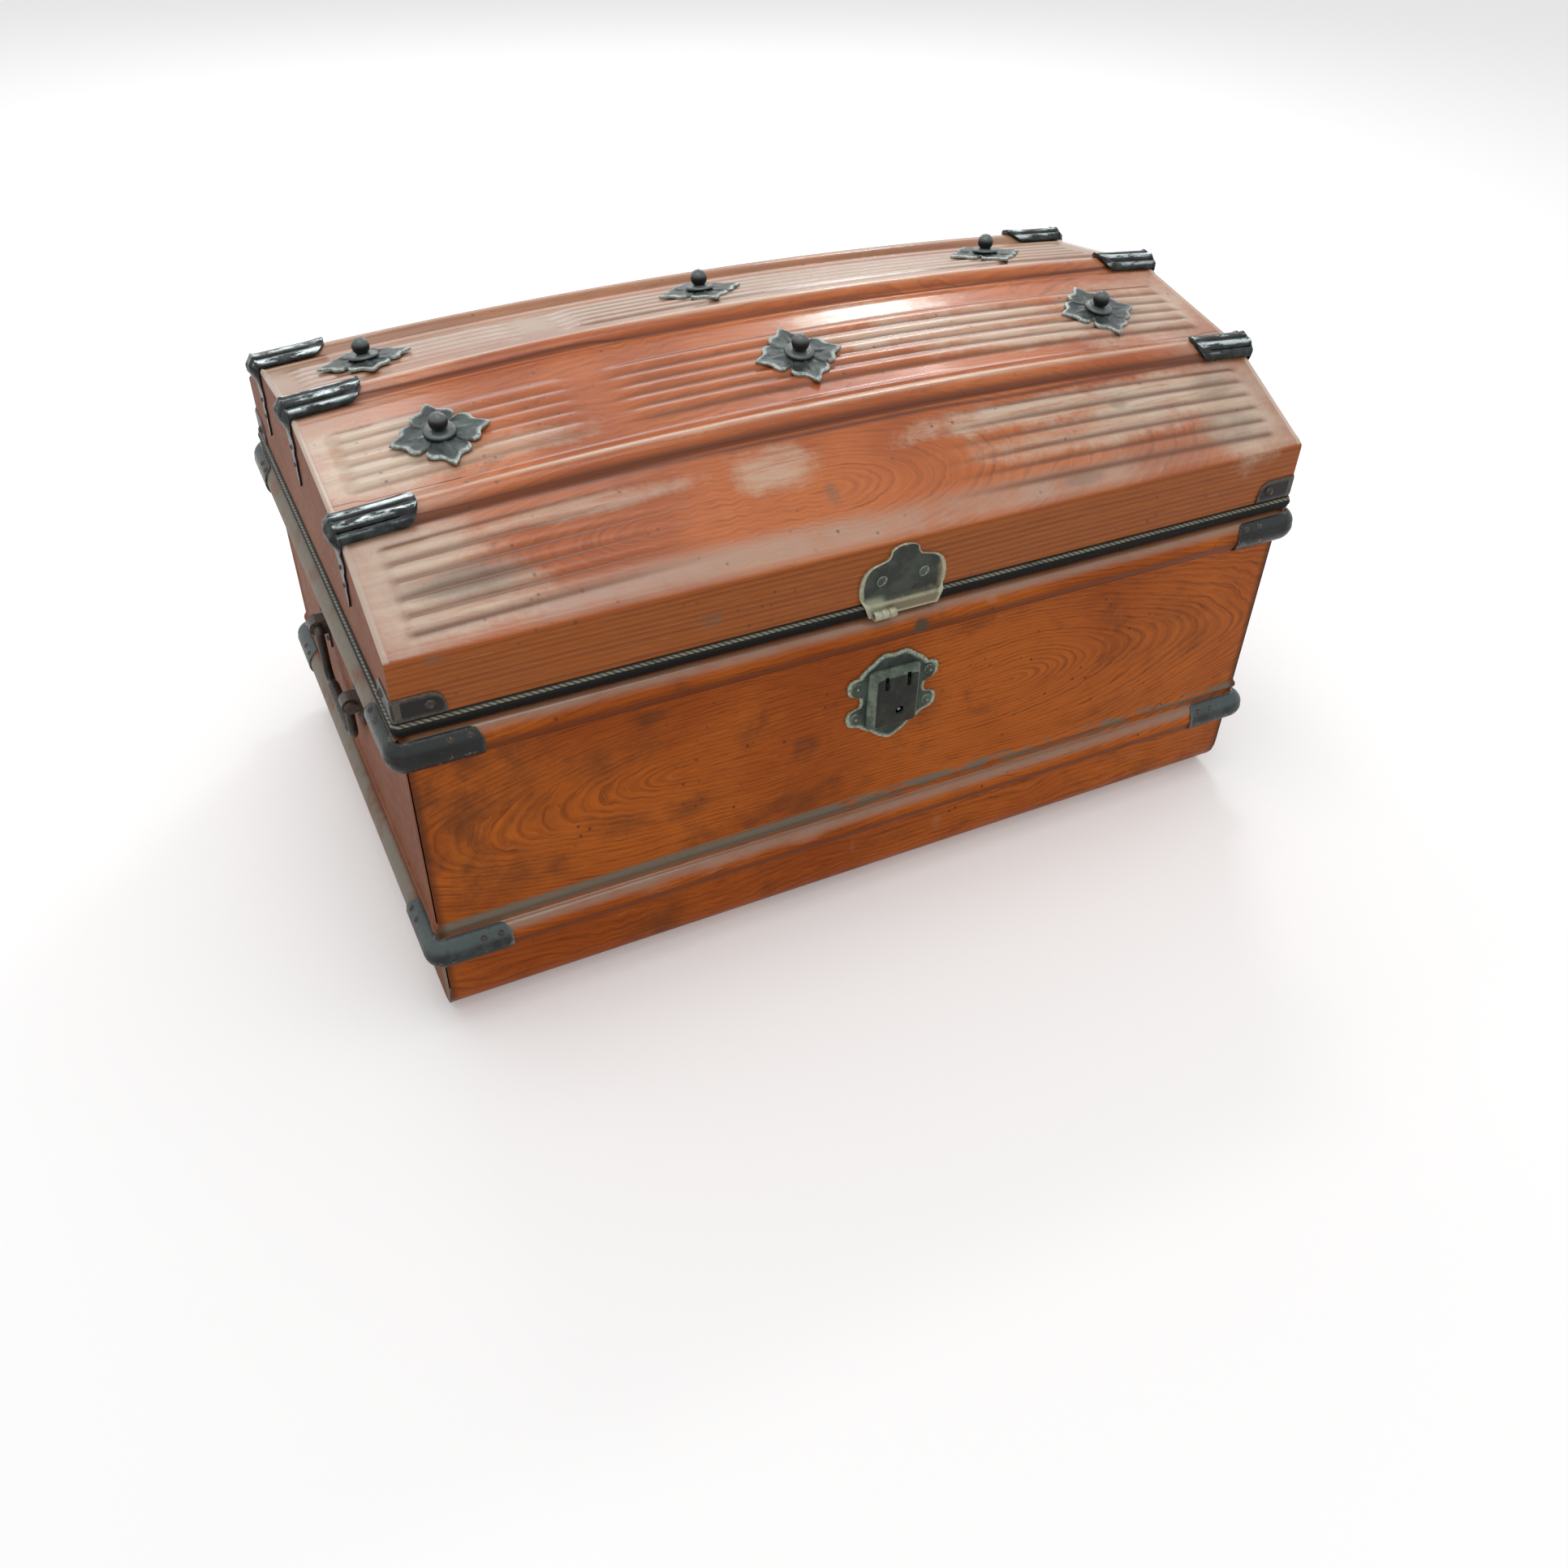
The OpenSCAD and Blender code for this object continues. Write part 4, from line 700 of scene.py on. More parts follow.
def case_metal():
    """The lock's case: dark olive face, paler green on its bevels."""
    paint = Paint("case_metal", Specular_IOR_Level=0.3)
    place = paint.place()
    out = paint.times(paint.axis(place, 1), -1.0)
    cloud = paint.noise(place, 0.10, 5, 0.65)
    fine = paint.noise(place, 0.5, 4, 0.7)
    face = paint.band(out, CASE_FRONT - 0.9, CASE_FRONT - 0.3)
    paint.color = paint.mix(paint.band(cloud, 0.4, 0.6), (0.085, 0.120, 0.094), (0.200, 0.250, 0.195))
    plain = paint.mix(paint.band(cloud, 0.4, 0.65), (0.010, 0.011, 0.008), (0.028, 0.031, 0.022))
    paint.cover(plain, face)
    paint.cover((0.020, 0.022, 0.016), paint.band(fine, 0.58, 0.75, 0.0, 0.5))
    relief = paint.math("MULTIPLY_ADD", cloud, 0.8, fine)
    return paint.finished(relief, 0.3, paint.band(fine, 0.3, 0.8, 0.34, 0.58))


GRAINED = grained_paint()
LID_GRAINED = lid_paint()
END_PAINT = end_paint()
INSIDE = inside_paint()
LIP_METAL = lip_metal()
HASP_METAL = hasp_metal()
CASE_METAL = case_metal()
CAP_METAL = cap_metal()
JAPAN = metal(
    "black_japan", (0.010, 0.009, 0.009), pale=(0.15, 0.12, 0.10), tint=(0.022, 0.020, 0.018),
    tint_share=0.6, roughness=0.34, metallic=0.3)
CLASP_METAL = metal(
    "clasp_metal", (0.009, 0.009, 0.008), pale=(0.22, 0.21, 0.18), tint=(0.020, 0.022, 0.021),
    tint_share=0.7, roughness=0.24, metallic=0.2,
    above=(0.026, 0.034, 0.033), below=(0.005, 0.004, 0.004), edges=(0.54, 0.64))
LOW_CLASP_METAL = metal(
    "low_clasp_metal", (0.016, 0.020, 0.019), pale=(0.30, 0.33, 0.31), tint=(0.050, 0.064, 0.062),
    tint_share=0.8, roughness=0.34, metallic=0.2,
    above=(0.080, 0.105, 0.104), below=(0.016, 0.016, 0.014), edges=(0.53, 0.62))
PATINA = metal(
    "patina", (0.030, 0.040, 0.039), pale=(0.50, 0.57, 0.54), tint=(0.085, 0.108, 0.104),
    tint_share=0.9, roughness=0.36, metallic=0.4)
STUD_METAL = metal(
    "stud_metal", (0.010, 0.011, 0.012), pale=(0.20, 0.21, 0.20), tint=(0.024, 0.026, 0.028),
    tint_share=0.7, roughness=0.24, metallic=0.4, above=(0.130, 0.150, 0.146), edges=(0.55, 0.65))
LOCK_GREEN = metal(
    "lock_green", (0.026, 0.036, 0.028), pale=(0.44, 0.50, 0.38), tint=(0.075, 0.100, 0.078),
    tint_share=0.8, roughness=0.44, metallic=0.2, pale_share=0.95)
DULL_STEEL = metal(
    "dull_steel", (0.085, 0.083, 0.072), pale=(0.34, 0.33, 0.29), tint=(0.150, 0.155, 0.140),
    tint_share=0.8, roughness=0.46, metallic=0.7)


def paint_piece(piece, outside, inside=None):
    """Outer faces take the first material and all others the second."""
    piece.data.materials.append(outside)
    if inside is None:
        return
    piece.data.materials.append(inside)
    outer = piece["outer_faces"]
    index = np.ones(len(piece.data.polygons), np.int32)
    index[:outer] = 0
    piece.data.polygons.foreach_set("material_index", index)


# ---------------------------------------------------------------------------
# Body
# ---------------------------------------------------------------------------


def wall_outline():
    """Points (out, z) of a wall's face, from the bottom bend up to the top edge."""
    return np.concatenate([
        bead_arc(LOW_BEAD_Z, LOW_BEAD_H, BEAD_OUT, 24),
        bead_arc(RIDGE_Z, RIDGE_H, RIDGE_OUT, 8),
        bead_arc(TOP_BEAD_Z, TOP_BEAD_H, BEAD_OUT, 24),
    ])


def bead_share(out, stations):
    """How far the points of a wall's line stand out on a bead, 0 to 1, for all its stations."""
    return np.tile(np.stack([out / BEAD_OUT, out * 0, out * 0], axis=1), (stations, 1))


def wrapper_path():
    """The folded sheet seen from its end: (y, z) from the front's top edge round to the back's."""
    wall = wall_outline()
    front = [(-BODY_D / 2 - out, z) for out, z in wall[::-1]]
    back = [(BODY_D / 2 + out, z) for out, z in wall]
    turn = np.radians(np.linspace(0, 90, 13))
    middle = BODY_D / 2 - BEND_R
    bend_front = [(-middle - BEND_R * math.cos(a), BEND_R - BEND_R * math.sin(a)) for a in turn]
    bend_back = [(middle + BEND_R * math.sin(a), BEND_R - BEND_R * math.cos(a)) for a in turn]
    path = resampled(np.array(front + bend_front + bend_back + back), PATH_STEP)
    return rounded(path, 2)


def make_body_sheet():
    path = wrapper_path()
    normals = path_normals(path)
    # the normals of a path that runs down the front and up the back point inwards
    inner = path + normals * SHEET
    out = np.maximum(np.abs(path[:, 0]) - BODY_D / 2, 0)
    reach = BODY_L / 2 + np.minimum(out, EDGE_FOLLOW)
    stations = np.linspace(-1, 1, 62)
    grid = np.array([[(t * r, y, z) for r, (y, z) in zip(reach, path)] for t in stations])
    under = np.array([[(t * r, y, z) for r, (y, z) in zip(reach, inner)] for t in stations])
    piece = shell("body_sheet", grid, under, "base",
                  stands_for=("body_wrapper",), slot="grained_paint")
    # unrolled: along the trunk, then up the wall; the back lies 400 mm off
    flat = [[(t * r, z, 0 if y < 0 else 400) for r, (y, z) in zip(reach, path)] for t in stations]
    give_vectors(piece, "unrolled", flat)
    give_vectors(piece, "proud", bead_share(out, len(stations)))
    paint_piece(piece, GRAINED, INSIDE)


def make_end_sheet(side):
    """An end panel with the same beads, its lower corners rounded like the fold."""
    wall = rounded(resampled(np.concatenate([[[0, 0]], wall_outline()]), PATH_STEP), 2)
    middle = BODY_D / 2 - BEND_R
    rows = np.concatenate([np.linspace(-1, -0.86, 12)[:-1], np.linspace(-0.86, 0.86, 30),
                           np.linspace(0.86, 1, 12)[1:]])
    outer, inner = [], []
    for t in rows:
        y0 = t * BODY_D / 2
        past = max(0, abs(y0) - middle)
        floor = BEND_R - math.sqrt(max(0, BEND_R**2 - past**2))
        # a strip along both sides, where the sheets are folded together, stands proud
        inset = BODY_D / 2 - abs(y0)
        edge = 0.7 * smoothstep(8.5, 7.5, inset) * smoothstep(0, 1.2, inset)
        line, back = [], []
        for out, z in wall:
            z = max(z, floor) if z < BEND_R else z
            y = t * (BODY_D / 2 + min(out, EDGE_FOLLOW))
            line.append((BODY_L / 2 + out + edge, y, z))
            back.append((BODY_L / 2 + out - SHEET, y, z))
        outer.append(line)
        inner.append(back)
    flip = np.array([side, 1, 1])
    name = "left_end_sheet" if side < 0 else "right_end_sheet"
    node = "left_end_panel" if side < 0 else "right_end_panel"
    piece = shell(name, np.array(outer) * flip, np.array(inner) * flip, "base",
                  stands_for=(node,), slot="end_paint")
    give_vectors(piece, "proud", bead_share(wall[:, 0], len(rows)))
    paint_piece(piece, END_PAINT, INSIDE)


def corner_path(reach, radius):
    """A plan path round the right front corner: its points, their outward directions and how
    far each lies from the corner."""
    ends = np.linspace(reach, radius, 16)
    bend = [((-radius + radius * math.sin(a), radius - radius * math.cos(a)),
             (math.sin(a), -math.cos(a)), 0.0) for a in np.radians(np.linspace(0, 90, 9))]
    front = [((-d, 0), (0, -1), d) for d in ends]
    return front + bend + [((0, d), (1, 0), d) for d in ends[::-1]]


def at_corner(grid, side, face, length, depth):
    """Moves a grid that was made round the origin to one of the four corners."""
    place = np.array([length / 2, -depth / 2, 0])
    return (np.array(grid) + place) * np.array([side, -face, 1])


def make_clasp(name, side, face, z, height, low, high, scallop, material, slot):
    """A sheet pressed over the bead at one corner, its ends rounded and its lower edge scalloped;
    low and high are degrees round the bead."""
    r = arc_radius(height, BEAD_OUT)
    columns = 26
    middle = (low + high) / 2
    outer, inner = [], []
    for (px, py), (nx, ny), d in corner_path(CLASP_L, 1.5):
        tip = max(0, (d - (CLASP_L - CLASP_TIP)) / CLASP_TIP)
        share = math.sqrt(max(0.0, 1 - tip**2)) * 0.55 + 0.45
        wave = scallop * abs(math.sin(math.pi * d / SCALLOP_PITCH))
        a_low = middle + (low - wave - middle) * share
        a_high = middle + (high - middle) * share
        line, back = [], []
        for k in range(columns):
            a = math.radians(a_low + (a_high - a_low) * k / (columns - 1))
            lift = CLASP_T
            if k in (0, columns - 1):
                lift *= 0.35
            dent = 0.35 * hump(math.degrees(a), 8, 7)
            for skin, row in ((SEAT + lift - dent * (lift > 1), line), (SEAT, back)):
                out = BEAD_OUT - r + (r + skin) * math.cos(a)
                row.append((px + nx * out, py + ny * out, z + (r + skin) * math.sin(a)))
        outer.append(line)
        inner.append(back)
    grids = [at_corner(grid, side, face, BODY_L, BODY_D) for grid in (outer, inner)]
    piece = shell(name + "_sheet", *grids, "base", stands_for=(name,), slot=slot)
    paint_piece(piece, material)


# ---------------------------------------------------------------------------
# Lid
# ---------------------------------------------------------------------------


def crown(x):
    """The lid's rise along its length: 0 at its ends, 1 in its middle."""
    return 1 - (2 * x / LID_L) ** 2


def line_at(x, i):
    """Fold, slat line or crest line of the front half at x: (y, z)."""
    if i == 0:
        return np.array([-LID_D / 2, FOLD_Z])
    if i == 1:
        return np.array([-SLAT_Y, LID_Z + SLAT_RISE + SLAT_CROWN * crown(x)])
    return np.array([0.0, LID_Z + CREST_RISE + CREST_CROWN * crown(x)])


def unit(v):
    return v / np.linalg.norm(v)


def slope_dir(x, i):
    """Unit direction down the slope below line i."""
    return unit(line_at(x, i - 1) - line_at(x, i))


def outward(d):
    """The direction out of a slope that falls along d."""
    return np.array([d[1], -d[0]])


def line_out(x, i):
    """The direction in which the bead on line i stands out."""
    if i == 2:
        return np.array([0.0, 1.0])
    return unit(outward(slope_dir(x, 1)) + outward(slope_dir(x, 2)))


def line_turn(x, i):
    """Half the angle by which the sheet turns at line i."""
    if i == 2:
        return math.acos(-slope_dir(x, 2)[0])
    return math.acos(min(1, slope_dir(x, 1) @ slope_dir(x, 2))) / 2


def flute_share(x, i):
    """How strong the reeding is at x: its groups fade in and out, and the front's are worn."""
    end = 1 - smoothstep(*FLUTE_END_FADE, abs(x))
    if i == 1:
        left = 1 - smoothstep(*OUTER_LEFT_FADE, x)
        return max(left, smoothstep(*OUTER_RIGHT_FADE, x)) * end
    left = 0.55 * (1 - smoothstep(*INNER_LEFT_FADE, x))
    return max(left, smoothstep(*INNER_RIGHT_FADE, x)) * end


def slope_points(x, i, low, high, count):
    """A slope's face from its lower line up to its bead, with flutes and fine raised lines."""
    length = np.linalg.norm(line_at(x, i - 1) - line_at(x, i))
    middle = OUTER_FLUTE_AT if i == 1 else INNER_FLUTE_AT
    half = FLUTES * FLUTE_PITCH / 2
    points = []
    for s in np.linspace(length - low, high, count):
        n = 0.0
        t = (s - (middle - half)) / FLUTE_PITCH
        if 0 < t < FLUTES:
            n = FLUTE_OUT * flute_share(x, i) * abs(math.sin(math.pi * t)) ** 0.65
        # fine raised lines: just above the lower line, and on the inner slope below the bead too
        if i == 1:
            n += 0.7 * hump(length - s - low, 4.0, 1.1)
        else:
            n += 1.1 * (hump(s - high, 3.6, 1.3) + hump(length - s - low, 3.6, 1.3))
        points.append(line_at(x, i) + slope_dir(x, i) * s + outward(slope_dir(x, i)) * n)
    return points


def slat_points(x, i, start, stop, count):
    """The half-round bead on line i, from one angle to another."""
    r = arc_radius(SLAT_W, SLAT_OUT)
    up = line_out(x, i)
    along = np.array([up[1], -up[0]])
    sink = SLAT_W / 2 * math.tan(line_turn(x, i))
    middle = line_at(x, i) + up * (SLAT_OUT - r - sink)
    return [middle + (up * math.cos(a) + along * math.sin(a)) * r
            for a in np.linspace(start, stop, count)]


def roof_path(x):
    """The lid's cross-section at x, from the front's lower edge over to the back's."""
    half = math.asin(SLAT_W / 2 / arc_radius(SLAT_W, SLAT_OUT))
    foot = SLAT_W / 2
    edge = [np.array([-LID_D / 2, z]) for z in np.linspace(LID_Z, FOLD_Z - 0.8, SKIRT_POINTS)]
    front = edge + slope_points(x, 1, 0.8, foot + 0.8, 84)
    front += slat_points(x, 1, -half, half, 23)
    front += slope_points(x, 2, foot + 0.8, foot + 0.8, 100)
    front += slat_points(x, 2, -half, 0, 12)
    front = np.array(front)
    back = front[-2::-1] * np.array([-1, 1])
    return rounded(np.concatenate([front, back]), 2)


def roof_grooves(x, path):
    """How deep each point of the cross-section lies in a groove of the reeding, 0 to 1."""
    marks = []
    for y, z in path:
        i = 1 if abs(y) > SLAT_Y else 2
        middle = OUTER_FLUTE_AT if i == 1 else INNER_FLUTE_AT
        s = (np.array([-abs(y), z]) - line_at(x, i)) @ slope_dir(x, i)
        t = (s - middle) / FLUTE_PITCH + FLUTES / 2
        inside = -0.3 < t < FLUTES + 0.3 and z > FOLD_Z + 4
        depth = abs(math.cos(math.pi * t)) ** 7
        marks.append(flute_share(x, i) * depth if inside else 0.0)
    return marks


def lid_stations():
    """Places along the lid, closer together where the reeding starts and ends."""
    base = np.linspace(-LID_L / 2, LID_L / 2, 57)
    dense = [m + d for m in (117, 146, 288) for d in (-9, -6, -3, 0, 3, 6, 9)]
    dense += [LID_L / 2 - d for d in (0.3, 0.7, 1.1, 1.6, 2.1, 2.7, 3.4, 5.0)]
    places = np.concatenate([base, dense, np.negative(dense)])
    return np.array(sorted(set(np.round(places, 3))))


def make_lid_sheet():
    outer, inner, flat, proud = [], [], [], []
    for x in lid_stations():
        path = roof_path(x)
        normals = path_normals(path)
        # a thin roll along both ends
        inset = LID_L / 2 - abs(x)
        roll = 0.9 * hump(inset, 1.6, 1.0) - 0.8 * smoothstep(0.9, 0.0, inset)
        above = smoothstep(FOLD_Z - 1, FOLD_Z + 2, path[:, 1])[:, None]
        face = path + normals * roll * above
        lengths = path_lengths(path)
        fold = lengths[SKIRT_POINTS - 1]
        outer.append([(x, y, z) for y, z in face])
        inner.append([(x, y, z) for y, z in path - normals * SHEET])
        flat.append([(x, s - fold, 0) for s in lengths])
        proud.append([(0, v, 0) for v in roof_grooves(x, path)])
    outer, inner = np.array(outer), np.array(inner)
    piece = shell("lid_sheet", outer, inner, "lid",
                  stands_for=("lid_top",), slot="grained_paint")
    give_vectors(piece, "unrolled", flat)
    give_vectors(piece, "proud", proud)
    paint_piece(piece, LID_GRAINED, INSIDE)


def make_lip():
    """A half-round roll round the lid's lower edge, with two fine grooves along it."""
    profile = bead_arc(LID_Z + LIP_H / 2, LIP_H, LIP_OUT, 28)
    across = np.linspace(-1, 1, len(profile))
    profile[:, 0] -= 0.55 * (hump(across, 0.30, 0.10) + hump(across, -0.30, 0.10))
    plan = []
    radius = 2.0
    for quarter, (sx, sy) in enumerate([(1, 1), (-1, 1), (-1, -1), (1, -1)]):
        for a in np.radians(np.linspace(0, 90, 7) + 90 * quarter):
            cx, cy = sx * (LID_L / 2 - radius), sy * (LID_D / 2 - radius)
            plan.append((cx, cy, math.cos(a), math.sin(a)))
    outer = np.array([[(cx + c * (radius + out), cy + s * (radius + out), z) for out, z in profile]
                      for cx, cy, c, s in plan])
    inner = np.array([[(cx + c * (radius - 0.5), cy + s * (radius - 0.5), z) for out, z in profile]
                      for cx, cy, c, s in plan])
    piece = shell("lip_roll", outer, inner, "lid", ring=True,
                  stands_for=("lid_lip",), slot="worn_steel")
    paint_piece(piece, LIP_METAL)


def make_bracket(side, face):
    """A flat corner bracket above the lip with rounded ends."""
    low = LIP_TOP + SEAT
    outer, inner = [], []
    for (px, py), (nx, ny), d in corner_path(BRACKET_L, 1.0):
        tip = max(0, (d - (BRACKET_L - BRACKET_TIP)) / BRACKET_TIP)
        top = low + BRACKET_H * (0.35 + 0.65 * math.sqrt(max(0.0, 1 - tip**2)))
        line, back = [], []
        for t in np.linspace(0, 1, 9):
            edge = 0.55 if t in (0, 1) else 0.0
            for skin, row in ((SEAT + CLASP_T - edge, line), (SEAT, back)):
                row.append((px + nx * skin, py + ny * skin, low + (top - low) * t))
        outer.append(line)
        inner.append(back)
    grids = [at_corner(grid, side, face, LID_L, LID_D) for grid in (outer, inner)]
    name = "lid_bracket_" + corner_name(side, face)
    piece = shell(name + "_sheet", *grids, "lid", stands_for=(name,), slot="japanned_steel")
    paint_piece(piece, JAPAN)


# ---------------------------------------------------------------------------
# Slat caps
# ---------------------------------------------------------------------------

CAP_L, CAP_OUT, CAP_GROOVE, CAP_RIBS = 44.0, 7.0, 1.5, 4
CAP_HALF = math.radians(74.0)
CAP_TIP = 12.0
TONGUE_L, TONGUE_W = 46.0, 22.0
SLAT_R = arc_radius(SLAT_W, SLAT_OUT)
CAP_IN = SLAT_R + SEAT + 0.35
TONGUE_SHAPE = ([0, 0.18, 0.30, 0.42, 0.52, 0.62, 0.74, 0.86, 1],
                [1, 0.70, 1.05, 0.80, 0.42, 0.60, 0.30, 0.34, 0.04])
# knobs on the caps: (u, v, height)
KNOBS = [(1.18, v, 2.1) for v in (-0.72, -0.27, 0.27, 0.72)]
KNOBS += [(1.75, v, 1.6) for v in (-0.45, 0.0, 0.45)]
KNOBS += [(0.06, v, 1.2) for v in (-0.6, 0.0, 0.6)]


def cap_tip(u):
    """0 along a cap, rising to 1 at its rounded end on the bead."""
    return max(0, (max(0, 1 - u) * CAP_L - CAP_L + CAP_TIP) / CAP_TIP)


def cap_lobe(u, v):
    """Angle across the bead and height of the lobes, 0 to 1."""
    tip = cap_tip(u)
    a = v * CAP_HALF * math.sqrt(max(0.05, 1 - tip * tip))
    return a, abs(math.sin(math.pi / 2 * CAP_RIBS * (a / CAP_HALF + 1))) ** 0.5


def cap_point(i, u, v, skin):
    """A point of a cap: u runs along the bead, over the lid's end and down the tongue, v across."""
    x = max(0, 1 - u) * CAP_L
    a, rib = cap_lobe(u, v)
    knob = max(size * hump(u, at, 0.13) * hump(v, across, 0.17) for at, across, size in KNOBS)
    edge = CAP_IN * math.cos(CAP_HALF)
    depth = CAP_GROOVE * (1 - cap_tip(u) * 0.6) * (1 - smoothstep(1.0, 1.3, u))
    r = CAP_IN + skin * (CLASP_T + CAP_GROOVE - depth + depth * rib + 0.6 * knob)
    rise = r * math.cos(a) - edge
    base = SLAT_OUT - SLAT_R - SLAT_W / 2 * math.tan(line_turn(LID_L / 2, i)) + edge
    over = math.pi / 2 * min(1, max(0, u - 1))
    t = max(0, u - 2)
    full = max(0, 1 - t / 0.35) ** 2
    bulge = CAP_IN + CLASP_T + CAP_GROOVE + 1.0 - edge
    out = CAP_OUT / bulge * rise * math.sin(over) * full + skin * CLASP_T * (1 - full)
    half_w = TONGUE_W / 2 * np.interp(t, *TONGUE_SHAPE)
    wide = r * math.sin(CAP_HALF)
    y = math.sin(a) / math.sin(CAP_HALF) * (wide + (half_w - wide) * min(1, t / 0.2))
    z = base + rise * math.cos(over) - t * TONGUE_L
    up = line_out(LID_L / 2, i)
    turn = (0 if i == 2 else math.atan2(-up[0], up[1])) * max(0, 1 - t / 0.3)
    slope = (line_at(LID_L / 2 - CAP_L, i)[1] - line_at(LID_L / 2, i)[1]) / CAP_L
    return (x - SEAT - out, y * math.cos(turn) - z * math.sin(turn),
            y * math.sin(turn) + z * math.cos(turn) + max(0, x) * slope)


def make_slat_cap(name, side, face, i):
    along = np.concatenate([np.linspace(0, 0.3, 12), np.linspace(0.34, 1, 14),
                            np.linspace(1.06, 2, 15), np.linspace(2.04, 3, 26)])
    across = np.linspace(-1, 1, 41)
    grids = [np.array([[cap_point(i, u, v, skin) for v in across] for u in along]) for skin in (1, 0)]
    y, z = line_at(LID_L / 2, i)
    place = np.array([LID_L / 2, y, z])
    flip = np.array([side, -face, 1])
    outer, inner = [(g * np.array([-1, 1, 1]) + place) * flip for g in grids]
    piece = shell(name + "_hood", outer, inner, "lid",
                  stands_for=(name,), slot="japanned_steel")
    lobes = [[(cap_lobe(u, v)[1], 0, 0) for v in across] for u in along]
    give_vectors(piece, "proud", lobes)
    paint_piece(piece, CAP_METAL)


# ---------------------------------------------------------------------------
# Bosses, lock and hasp plate
# ---------------------------------------------------------------------------

ARM = [(0.33, -0.33), (0.45, -0.39), (0.53, -0.44), (0.64, -0.41), (0.70, -0.33), (0.72, -0.22),
       (0.78, -0.15), (0.89, -0.09), (1, 0), (0.89, 0.09), (0.78, 0.15), (0.72, 0.22),
       (0.70, 0.33), (0.64, 0.41), (0.53, 0.44), (0.45, 0.39)]


def turned(points, degrees):
    """Points of a plane, turned about its middle."""
    a = math.radians(degrees)
    m = np.array([[math.cos(a), math.sin(a)], [-math.sin(a), math.cos(a)]])
    return np.asarray(points, float) @ m


def plate_piece(name, outline, rise, thickness, rows, matrix, body, **facts):
    """A plate whose outline is seen whole from its middle; rise(t, angle) lifts its face."""
    outline = np.asarray(outline, float)
    count = len(outline)
    shares = np.linspace(0.02, 1, rows)
    outer, inner = [], []
    for x, y in outline:
        angle = math.atan2(y, x)
        line, back = [], []
        for t in shares:
            top = thickness * (0.45 if t == 1 else 1) + rise(t, angle)
            line.append((x * t, y * t, top))
            back.append((x * t, y * t, max(0.0, top - thickness)))
        outer.append(line)
        inner.append(back)
    outer, inner = np.array(outer), np.array(inner)
    points = np.concatenate([outer.reshape(-1, 3), inner.reshape(-1, 3)])
    groups = shell_faces(count, rows, ring=True)
    faces = [f[::-1] for group in groups for f in group]
    faces.append([k * rows for k in range(count)])
    faces.append([count * rows + k * rows for k in range(count)][::-1])
    return make_piece(name, placed(points, matrix), faces, body, sharp=45, **facts)


def dense_outline(points, step):
    """A closed outline with points about step apart."""
    closed = np.vstack([points, points[:1]])
    return resampled(closed, step)[:-1]


def lathe(name, profile, matrix, body, steps=36, **facts):
    """A turned piece: profile holds (radius, height) from its foot to its top."""
    points = [(r * math.cos(a), r * math.sin(a), h)
              for a in np.linspace(0, 2 * math.pi, steps, endpoint=False) for r, h in profile]
    faces = grid_faces(steps, len(profile), ring=True, flip=True)
    return make_piece(name, placed(points, matrix), faces, body, sharp=50, **facts)


def placed(points, matrix):
    """Points in millimetres, moved by a matrix that counts in metres."""
    return [list(matrix @ Vector(p) / MM) for p in (np.asarray(points, float) * MM).tolist()]


def on_slope(x, face):
    """Where a boss stands on an inner slope: its local Z points out of the sheet."""
    fall_end = math.atan((CREST_RISE - SLAT_RISE) / SLAT_Y)
    y = face * INNER_FLUTE_AT * math.cos(fall_end)
    low, high = line_at(x, 1)[1], line_at(x, 2)[1]
    fall = (high - low) / SLAT_Y
    share = 1 - abs(y) / SLAT_Y
    rise_x = -8 * x / LID_L**2 * (SLAT_CROWN + (CREST_CROWN - SLAT_CROWN) * share)
    normal = Vector((-rise_x, face * fall, 1)).normalized()
    along = Vector((1, 0, rise_x)).normalized()
    across = normal.cross(along)
    turn = Matrix((along, across, normal)).transposed().to_4x4()
    place = Vector((x, y, high - fall * abs(y))) + normal * (FLUTE_OUT + SEAT)
    return Matrix.Translation(place * MM) @ turn


def boss_rise(t, angle):
    """A leaf on each arm: raised midribs, hollows between and a curled rim."""
    arm = abs(((math.degrees(angle) + 45) % 90) - 45)
    rib = 0.35 * hump(arm, 0, 6.0) * math.sin(math.pi * min(1, t * 1.05))
    rim = 0.6 * smoothstep(0.80, 0.97, t) - 0.5 * hump(t, 0.62, 0.12)
    centre = 0.9 * (1 - smoothstep(0.25, 0.40, t))
    return rib + rim + centre


